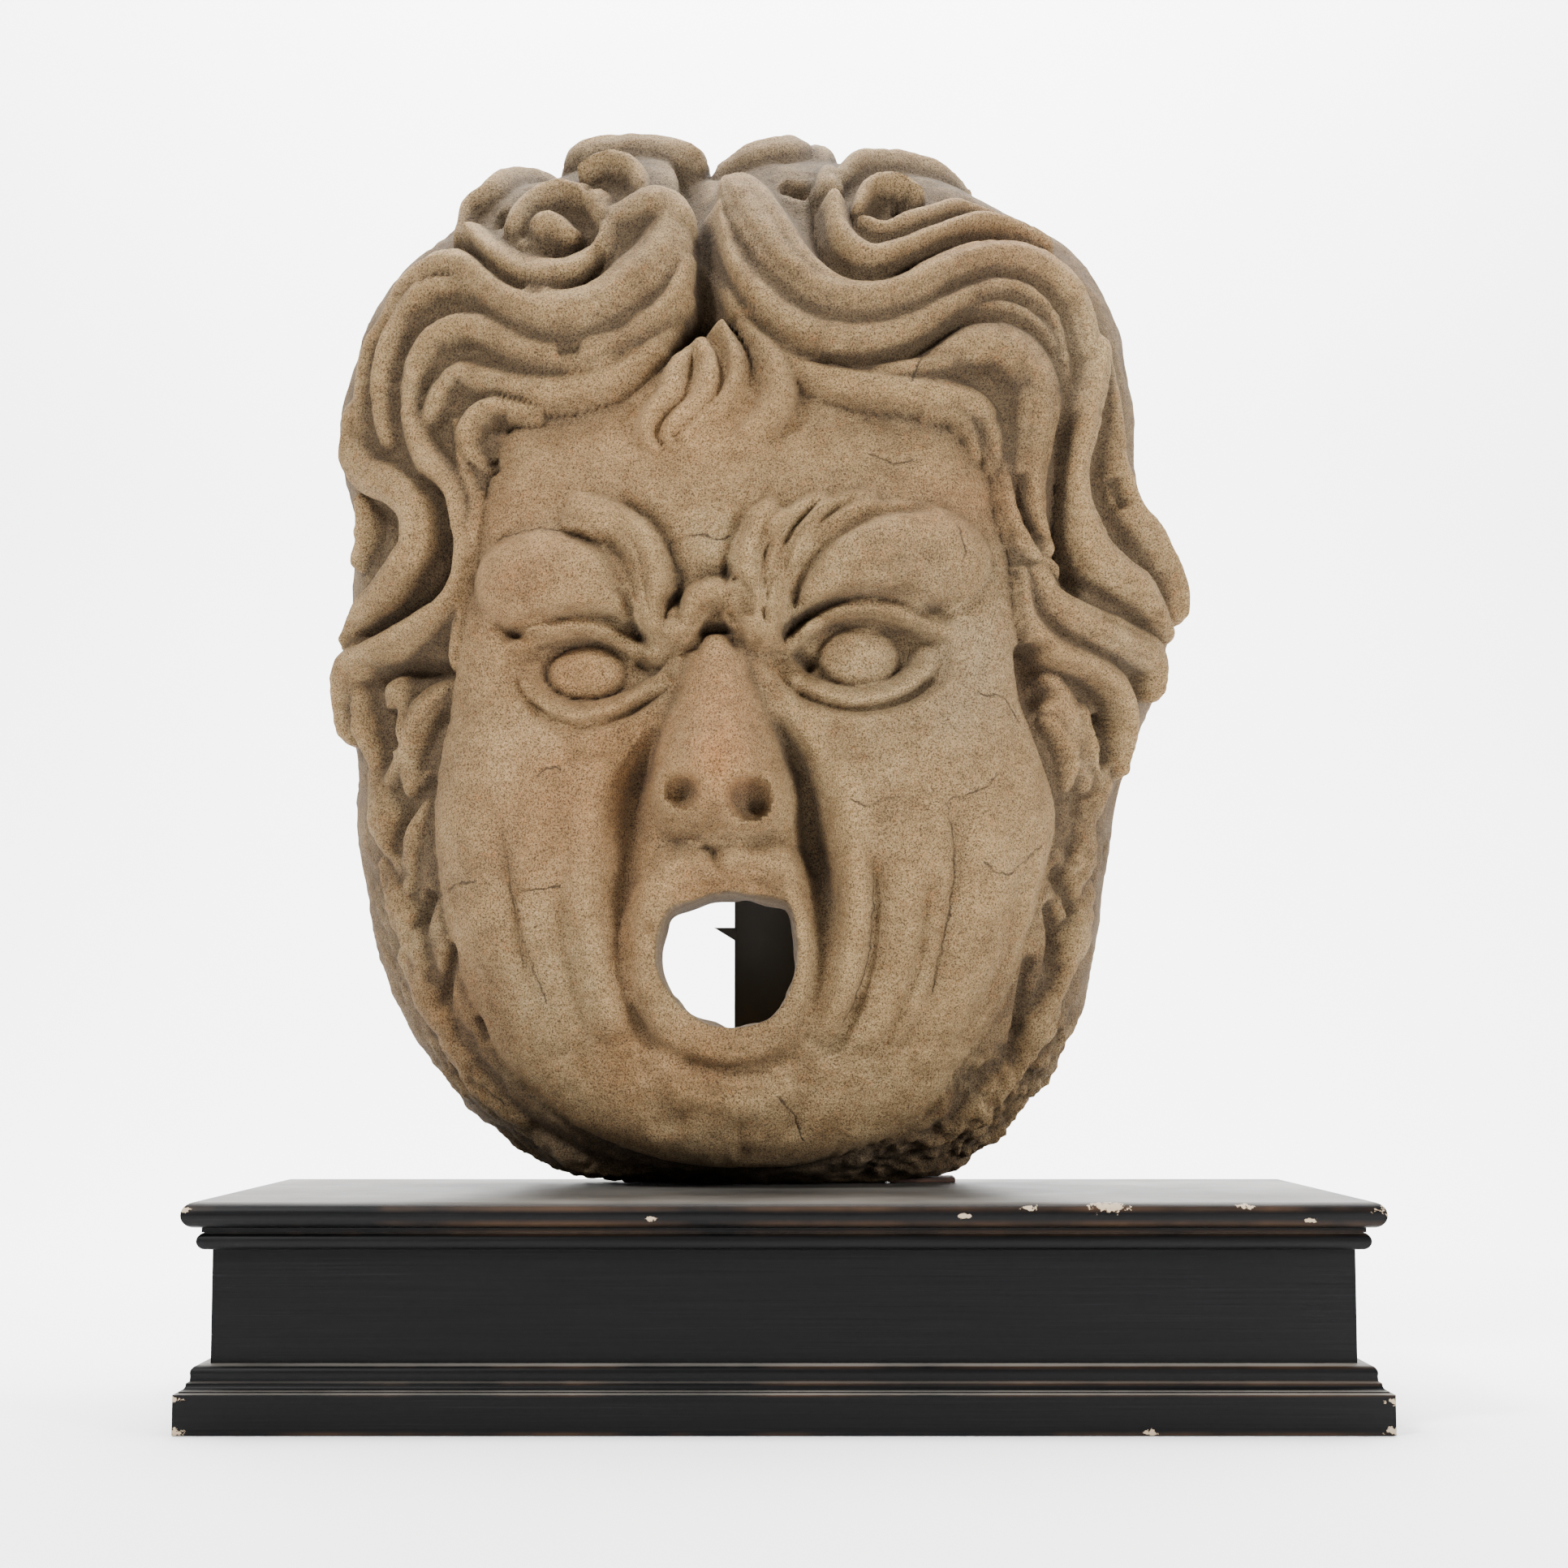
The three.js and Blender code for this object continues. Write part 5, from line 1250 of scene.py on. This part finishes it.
# %% Stone surface
DENTS, PITS = 12, 3.5

dents = add(stone_tree, "TexNoise", Vector=where, Scale=cycles(DENTS), Detail=4.0, Roughness=0.6)
pits = add(stone_tree, "TexNoise", Vector=where, Scale=cycles(PITS), Detail=4.0, Roughness=0.75)
dent_bump = add(stone_tree, "Bump", Height=dents, Strength=0.55, Distance=6 * MM)
pit_bump = add(stone_tree, "Bump", Height=pits, Strength=1.0, Distance=3.6 * MM, Normal=dent_bump)
grain_bump = add(stone_tree, "Bump", Height=grain, Strength=1.0, Distance=1.2 * MM, Normal=pit_bump)
crack_bump = add(stone_tree, "Bump", {"invert": True}, Height=crack, Strength=0.9, Distance=2 * MM,
                 Normal=grain_bump)
dry_stone = add(stone_tree, "BsdfPrincipled", Base_Color=cracked, Roughness=0.93, Normal=crack_bump,
                Specular_IOR_Level=0.25)
stone_tree.links.new(dry_stone.outputs[0], stone_output.inputs["Surface"])
print("stone nodes", len(stone_tree.nodes))

# %% [markdown]
# The carving is shaded smooth, but edges sharper than 70 degrees stay crisp, and so does the rim
# where the carved side meets the flat back.

# %% Stone in place
stone = bpy.data.objects.new("carved_stone", stone_mesh)
bpy.context.collection.objects.link(stone)
stone_mesh.materials.clear()
stone_mesh.materials.append(stone_material)
stone_mesh.polygons.foreach_set("use_smooth", [True] * len(stone_mesh.polygons))
stone_mesh.polygons.foreach_set("material_index", [0] * len(stone_mesh.polygons))
stone_mesh.set_sharp_from_angle(angle=math.radians(70))
for edge in stone_mesh.edges:
    if in_back_plane[edge.vertices[0]] and in_back_plane[edge.vertices[1]]:
        edge.use_edge_sharp = True
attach(stone, "root")
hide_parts("stone_mask")
print("stone dressed")

# %% [markdown]
# The plinth is softwood, planed and mitred, with black satin paint brushed along each board. The
# brush leaves long fine lines in the film, which catch the light.

# %% Black paint
BRUSH_LENGTH, BRUSH_WIDTH = 3.0, 260.0
PAINT_CLOUD, PAINT_FLECK = 120, 4
COLOURS_OF_PAINT = [(0.35, linear("#050506")), (0.6, linear("#0a0a0b")), (0.75, linear("#151314"))]
# The pale colour below is both dust and a painted sheen on the faces that look up.
BARE_WOOD, RUBBED_WOOD, DUST_AND_SHEEN = linear("#a08e76"), linear("#4a3524"), linear("#8b867e")


def brushed_paint(name):
    material, tree, output, where = new_material(name)
    along_board = add(tree, "Mapping", Vector=where, Scale=(BRUSH_LENGTH, BRUSH_LENGTH, BRUSH_WIDTH))
    brush = add(tree, "TexNoise", Vector=along_board, Scale=2.0, Detail=6.0, Roughness=0.7)
    film = add(tree, "ValToRGB", Fac=brush, stops=COLOURS_OF_PAINT)
    return material, tree, output, where, brush, film


print("paint clouds", PAINT_CLOUD, "mm, flecks", PAINT_FLECK, "mm")

# %% [markdown]
# The paint rubs through to brown along the arrises. An arris runs level round the plinth, so the
# rubbing is a band of height, and a cloud noise leaves it only here and there. Where the wood was
# knocked, a ragged chip shows it pale.

# %% Rubbed arrises and chips
CHIP_SHAPE = (0.55, 1.0, 1.3)
CHIP_RAGGED, CHIP_CUT = 3.4, 2.4


def rub_arrises(tree, where, cloud, colour, arrises):
    height_now = add(tree, "SeparateXYZ", Vector=where).outputs["Z"]
    worn = 0.0
    for arris, spread in arrises:
        distance = add(tree, "Math", {"operation": "SUBTRACT"}, Value=[height_now, arris * MM])
        apart = add(tree, "Math", {"operation": "ABSOLUTE"}, Value=distance)
        band = add(tree, "MapRange", {"clamp": True}, Value=apart, From_Min=0.0,
                   From_Max=spread * MM, To_Min=1.0, To_Max=0.0)
        worn = add(tree, "Math", {"operation": "MAXIMUM"}, Value=[worn, band])
    patchy = add(tree, "ValToRGB", Fac=cloud, stops=[(0.42, level(0.0)), (0.66, level(0.55))])
    amount = add(tree, "Math", {"operation": "MULTIPLY", "use_clamp": True}, Value=[worn, patchy])
    return add(tree, "Mix", COLOUR, Factor=amount, A=colour, B=RUBBED_WOOD)


def chip_paint(tree, where, fleck, colour, place, radius):
    middle = tuple(float(value) * MM for value in place)
    offset = add(tree, "VectorMath", {"operation": "SUBTRACT"}, Vector=[where, middle])
    shaped = add(tree, "VectorMath", {"operation": "MULTIPLY"}, Vector=[offset, CHIP_SHAPE])
    away = add(tree, "VectorMath", {"operation": "LENGTH"}, Vector=shaped).outputs["Value"]
    ragged = add(tree, "Math", {"operation": "MULTIPLY_ADD"}, Value=[fleck, radius * CHIP_RAGGED * MM, away])
    chipped = add(tree, "Math", {"operation": "LESS_THAN"}, Value=[ragged, radius * CHIP_CUT * MM])
    return add(tree, "Mix", COLOUR, Factor=chipped, A=colour, B=BARE_WOOD)


print("helpers: rub_arrises and chip_paint")

# %% [markdown]
# Dust lies on every face that looks up, so the surface normal says where it goes. The same pale
# colour is also a painted sheen: the grey that black paint reflects on a face seen at a low angle.
# The dust also makes the satin paint duller.

# %% Painted wood material
LEVEL_ENOUGH = 0.8


def painted_wood(name, arrises, dust_and_painted_light, chips):
    material, tree, output, where, brush, colour = brushed_paint(name)
    cloud = add(tree, "TexNoise", Vector=where, Scale=cycles(PAINT_CLOUD), Detail=4.0, Roughness=0.6)
    fleck = add(tree, "TexNoise", Vector=where, Scale=cycles(PAINT_FLECK), Detail=5.0, Roughness=0.7)
    if arrises:
        colour = rub_arrises(tree, where, cloud, colour, arrises)
    for place, radius in chips:
        colour = chip_paint(tree, where, fleck, colour, place, radius)
    # Dust and painted sheen on the faces that look up.
    normal = add(tree, "NewGeometry").outputs["Normal"]
    up = add(tree, "SeparateXYZ", Vector=normal).outputs["Z"]
    upward = add(tree, "MapRange", {"clamp": True}, Value=up, From_Min=LEVEL_ENOUGH, From_Max=1.0,
                 To_Min=0.0, To_Max=dust_and_painted_light)
    drift = add(tree, "ValToRGB", Fac=cloud, stops=[(0.3, level(0.35)), (0.7, level(1.0))])
    dust_and_sheen = add(tree, "Math", {"operation": "MULTIPLY", "use_clamp": True}, Value=[upward, drift])
    with_dust_and_sheen = add(tree, "Mix", COLOUR, Factor=dust_and_sheen, A=colour, B=DUST_AND_SHEEN)
    gloss = add(tree, "ValToRGB", Fac=brush, stops=[(0.3, level(0.34)), (0.7, level(0.5))])
    dulled = add(tree, "Math", {"operation": "MULTIPLY_ADD", "use_clamp": True}, Value=[dust_and_sheen, 0.25, gloss])
    bump = add(tree, "Bump", Height=brush, Strength=0.25, Distance=0.6 * MM)
    paint = add(tree, "BsdfPrincipled", Base_Color=with_dust_and_sheen, Roughness=dulled, Normal=bump,
                Specular_IOR_Level=0.11)
    tree.links.new(paint.outputs[0], output.inputs["Surface"])
    return material


print("helper: painted_wood")

# %% [markdown]
# The sizes of the plinth are read back from the frame, so the pieces land where the solids are.
# The chips are on the front arrises and the corners, as they are on the real one.

# %% Paint on each part
half_width = board_high[0]
half_depth = board_high[1]
top_z = board_high[2]
TOP_CHIPS = [
    ((half_width - 1, -half_depth + 4, top_z - 6), 5), ((163, -half_depth, top_z - 2.5), 4.5),
    ((216, -half_depth + 1, top_z - 1.5), 8), ((307, -half_depth + 1, top_z - 2), 4),
    ((120, -half_depth, top_z - 9), 2.5), ((-half_width + 3, -half_depth + 2, top_z - 5), 3),
    ((-half_width + 1, -half_depth + 6, top_z - 9), 3), ((350, -half_depth, top_z - 12), 2.5),
    ((-88, -half_depth, top_z - 11), 2.5),
]
MOULDING_CHIPS = [
    ((-400, -194, 23), 4), ((401, -195, 22), 3.5), ((401, -196, 3), 4),
    ((-401, -196, 2), 4), ((240, -196, 2), 3),
]
TOP_ARRISES = [(top_z - 4, 3), (top_z - 14, 3)]
MOULDING_ARRISES = [(26.2, 1.6), (44, 2.5), (33, 2.0), (0.8, 2.0), (131, 2.5)]
# The third number sets how much dust and painted sheen lies on each part's upward faces.
paint_top = painted_wood("black_paint_on_top_board", TOP_ARRISES, 0.42, TOP_CHIPS)
paint_boards = painted_wood("black_paint_on_boards", [], 0.3, [])
paint_mouldings = painted_wood("black_paint_on_mouldings", MOULDING_ARRISES, 0.75, MOULDING_CHIPS)
print("chips", len(TOP_CHIPS) + len(MOULDING_CHIPS))

# %% [markdown]
# The top board's edge is a half round. A stack of rectangles that grow and shrink along a half
# circle gives it in one loft, with the mitred corners that a router leaves.

# %% Top board
edge_radius = (board_high[2] - board_low[2]) / 2
board_rings = []
for bend in np.linspace(-math.pi / 2, math.pi / 2, 15):
    inset = edge_radius * (1 - math.cos(bend))
    x, y, z = half_width - inset, half_depth - inset, top_z - edge_radius + edge_radius * math.sin(bend)
    board_rings.append([(-x, -y, z), (x, -y, z), (x, y, z), (-x, y, z)])
top_board = finished("top_board", loft(board_rings), paint_top, 40)
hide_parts("plinth_top_board")
print("top board edge radius", round(edge_radius, 1), "mm")

# %% [markdown]
# Each frame of boards and mouldings is one profile, set back from the board's edge by so much at
# such a height, carried along the side and cut at 45 degrees where it meets the next. A hair's
# breadth is left at the mitres and between the parts, as a joiner can't close them to nothing.

# %% Profiles
def arc(centre_x, centre_z, radius_x, radius_z, start, end, steps):
    turn = np.radians(np.linspace(start, end, steps + 1))
    return list(zip(centre_x + radius_x * np.cos(turn), centre_z + radius_z * np.sin(turn)))


JOINT = 0.3
FRIEZE_BACK, FRIEZE_THICKNESS = 18.4, 18
BED_FACE, BED_FILLET, ROUND_FACE, BED_RADIUS, BED_DROP = 12, 3, 9, 5.75, 14.5
BASE_PROUD, BASE_HEIGHT = 2.3, 26.2

under_board = board_low[2] - JOINT
planted = FRIEZE_BACK - JOINT
inner = FRIEZE_BACK + FRIEZE_THICKNESS
frieze_profile = [(FRIEZE_BACK, 0), (FRIEZE_BACK, under_board), (inner, under_board), (inner, 0)]
bed_profile = [
    (planted, under_board), (BED_FACE, under_board), (BED_FACE, under_board - BED_FILLET),
    *arc(ROUND_FACE + BED_RADIUS, under_board - BED_FILLET - BED_RADIUS, BED_RADIUS, BED_RADIUS, 100, 260, 12),
    (planted, under_board - BED_DROP),
]
base_profile = [
    (planted, 0), (-BASE_PROUD, 0), (-BASE_PROUD, BASE_HEIGHT), (1, BASE_HEIGHT + 1),
    *arc(1, 33, 4, 5, 270, 360, 6), (7, 34.2), *arc(12, 39.2, 5, 5, 200, 90, 9), (planted, 44.8),
]
print("profile points", len(frieze_profile), len(bed_profile), len(base_profile))

# %% Boards and mouldings
MITRE_GAP = 0.22
SIDES = ("front", "right", "back", "left")
KINDS = {
    "frieze_board": (frieze_profile, paint_boards), "bed_moulding": (bed_profile, paint_mouldings),
    "base_moulding": (base_profile, paint_mouldings),
}


def frame_side(profile, quarter):
    length, across = (half_width, half_depth) if quarter % 2 == 0 else (half_depth, half_width)
    turn = Matrix.Rotation(quarter * math.pi / 2, 3, "Z")
    rings = []
    for sign in (-1, 1):
        rings.append([turn @ Vector((sign * (length - set_back - MITRE_GAP), set_back - across, z))
                      for set_back, z in profile])
    return loft(rings)


for kind, (profile, paint) in KINDS.items():
    for quarter, side_name in enumerate(SIDES):
        bm = frame_side(profile, quarter)
        piece = finished(f"painted_{kind}_{side_name}", bm, paint, 35)
        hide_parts(f"{kind}_{side_name}")
print("plinth pieces", 1 + len(KINDS) * len(SIDES))

# %% [markdown]
# Behind the stone stands a steel post on a foot plate. Spray paint on steel has a faint orange
# peel and is duller than the brushed paint of the wood.

# %% Painted steel
def painted_steel():
    material, tree, output, where = new_material("black_painted_steel")
    cloud = add(tree, "TexNoise", Vector=where, Scale=cycles(20), Detail=5.0, Roughness=0.65)
    orange_peel = add(tree, "TexNoise", Vector=where, Scale=cycles(2), Detail=2.0)
    bump = add(tree, "Bump", Height=orange_peel, Strength=0.2, Distance=0.4 * MM)
    tone = add(tree, "ValToRGB", Fac=cloud, stops=[(0.3, linear("#0b0b0c")), (0.7, linear("#18181a"))])
    gloss = add(tree, "ValToRGB", Fac=cloud, stops=[(0.3, level(0.45)), (0.7, level(0.62))])
    paint = add(tree, "BsdfPrincipled", Base_Color=tone, Roughness=gloss, Normal=bump)
    tree.links.new(paint.outputs[0], output.inputs["Surface"])
    return material


steel = painted_steel()
print("steel nodes", len(steel.node_tree.nodes))

# %% [markdown]
# The post, its plate and the pointed lug that shows through the mouth are each a loft between
# two rings. The arrises of the post and the plate are eased.

# %% Steel support
FOOT_THICKNESS, FOOT_EASING = 6, 0.8
POST_LEFT, POST_RIGHT, POST_DEPTH, POST_EASING = -39, 11, 40, 1.5
LUG_REACH, LUG_THICKNESS, LUG_HEIGHT, LUG_ABOVE_FOOT = 16, 8, 11, 192
WELD = 2


def bar(low, high, easing):
    (x0, y0, z0), (x1, y1, z1) = low, high
    bm = loft([[(x0, y0, z), (x1, y0, z), (x1, y1, z), (x0, y1, z)] for z in (z0, z1)])
    bmesh.ops.bevel(bm, geom=bm.edges[:], offset=easing * MM, segments=2, affect="EDGES", profile=0.5,
                    material=-1)
    return bm


support_low, support_high = box_in_mm("steel_support")
plate_top = (support_high[0], support_high[1], support_low[2] + FOOT_THICKNESS)
foot_plate = finished("foot_plate", bar(support_low, plate_top, FOOT_EASING), steel, 30)
post_low = (POST_LEFT, support_low[1], support_low[2] + 1)
post_high = (POST_RIGHT, support_low[1] + POST_DEPTH, support_high[2])
upright = finished("upright", bar(post_low, post_high, POST_EASING), steel, 30)

lug_z = support_low[2] + LUG_ABOVE_FOOT
lug_root = POST_LEFT + WELD
lug_rings = []
for y in (support_low[1], support_low[1] + LUG_THICKNESS):
    lug_rings.append([
        (POST_LEFT - LUG_REACH, y, lug_z + LUG_HEIGHT / 2), (lug_root, y, lug_z - LUG_HEIGHT / 2),
        (lug_root, y, lug_z + LUG_HEIGHT / 2),
    ])
pointed_lug = finished("pointed_lug", loft(lug_rings), steel, 30)
for piece in (foot_plate, upright, pointed_lug):
    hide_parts("steel_support")
print("support height", round(support_high[2] - support_low[2]), "mm")

# %% [markdown]
# A sliver of dark wood packs the corner that doesn't reach the board. Its grain runs along it, so
# the noise is stretched that way.

# %% Packing sliver
def raw_wood():
    material, tree, output, where = new_material("rough_packing_wood")
    stretch = add(tree, "Mapping", Vector=where, Scale=(60.0, 400.0, 400.0))
    fibres = add(tree, "TexNoise", Vector=stretch, Scale=1.0, Detail=5.0, Roughness=0.7)
    bump = add(tree, "Bump", Height=fibres, Strength=0.6, Distance=1 * MM)
    tone = add(tree, "ValToRGB", Fac=fibres, stops=[(0.3, linear("#1d120d")), (0.7, linear("#4a3022"))])
    wood = add(tree, "BsdfPrincipled", Base_Color=tone, Roughness=0.85, Normal=bump)
    tree.links.new(wood.outputs[0], output.inputs["Surface"])
    return material


(x0, y0, z0), (x1, y1, z1) = wedge_low, wedge_high
sliver_bm = loft([
    [(x, y0, z0), (x, y1, z0), (x, y1, z1), (x, y0, z0 + (z1 - z0) * front_share)]
    for x, front_share in ((x0, 0.7), (x1, 0.85))
])
bmesh.ops.bevel(sliver_bm, geom=sliver_bm.edges[:], offset=0.4 * MM, segments=1, affect="EDGES", profile=0.5,
                material=-1)
sliver = finished("packing_sliver", sliver_bm, raw_wood(), 30)
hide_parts("packing_wedge")
print("sliver", np.round(wedge_high - wedge_low, 1), "mm")

# %% [markdown]
# A white paper sweep runs under and up behind the plinth, so there is no horizon line. It is one
# line of points, extruded sideways.

# %% Paper sweep
SWEEP_FRONT, SWEEP_BACK, SWEEP_TOP, SWEEP_RADIUS, SWEEP_HALF_WIDTH = -5.0, 2.6, 5.0, 1.2, 6.0
BELOW_PLINTH = 0.0005


def paper():
    material, tree, output, where = new_material("white_paper")
    cloud = add(tree, "TexNoise", Vector=where, Scale=cycles(500), Detail=2.0)
    tone = add(tree, "ValToRGB", Fac=cloud, stops=[(0.3, linear("#f4f4f4")), (0.7, linear("#f8f8f8"))])
    sheet = add(tree, "BsdfPrincipled", Base_Color=tone, Roughness=0.9)
    tree.links.new(sheet.outputs[0], output.inputs["Surface"])
    return material


bend_start = SWEEP_BACK - SWEEP_RADIUS
sweep_line = [(SWEEP_FRONT, 0.0), (bend_start, 0.0)]
sweep_line += [(bend_start + SWEEP_RADIUS * math.sin(turn), SWEEP_RADIUS * (1 - math.cos(turn)))
               for turn in np.linspace(0, math.pi / 2, 17)[1:]]
sweep_line.append((SWEEP_BACK, SWEEP_TOP))
bm = bmesh.new()
line_verts = [bm.verts.new((-SWEEP_HALF_WIDTH, y, z - BELOW_PLINTH)) for y, z in sweep_line]
line_edges = [bm.edges.new(pair) for pair in zip(line_verts, line_verts[1:])]
swept = bmesh.ops.extrude_edge_only(bm, edges=line_edges)["geom"]
moved_verts = [item for item in swept if isinstance(item, bmesh.types.BMVert)]
bmesh.ops.translate(bm, verts=moved_verts, vec=(2 * SWEEP_HALF_WIDTH, 0, 0))
bmesh.ops.recalc_face_normals(bm, faces=bm.faces)
sweep = finished("paper_sweep", bm, None)
sweep.data.polygons.foreach_set("use_smooth", [True] * len(sweep.data.polygons))
sweep.data.materials.append(paper())
print("sweep faces", len(sweep.data.polygons))

# %% [markdown]
# One soft key light from the upper left rakes across the carving, and a weaker fill keeps the
# right side readable. A third light whitens the paper behind.

# %% Lights
def soft_light(name, place, size, power, aim=(0, 0, 0.5)):
    data = bpy.data.lights.new(name, "AREA")
    data.shape = "DISK"
    data.size = size
    data.energy = power
    light = bpy.data.objects.new(name, data)
    light.location = place
    light.rotation_euler = (Vector(aim) - Vector(place)).to_track_quat("-Z", "Y").to_euler()
    bpy.context.collection.objects.link(light)


soft_light("key_light", (-1.7, -2.2, 2.5), 0.6, 172)
soft_light("fill_light", (2.3, -1.9, 1.0), 0.9, 126)
soft_light("backdrop_light", (0, 1.0, 3.4), 3.0, 700, (0, 2.6, 0.4))
world = bpy.data.worlds.new("studio")
world.use_nodes = True
world.node_tree.nodes["Background"].inputs["Color"].default_value = (1, 1, 1, 1)
world.node_tree.nodes["Background"].inputs["Strength"].default_value = 0.11
bpy.context.scene.world = world
print("lights", len(bpy.data.lights))
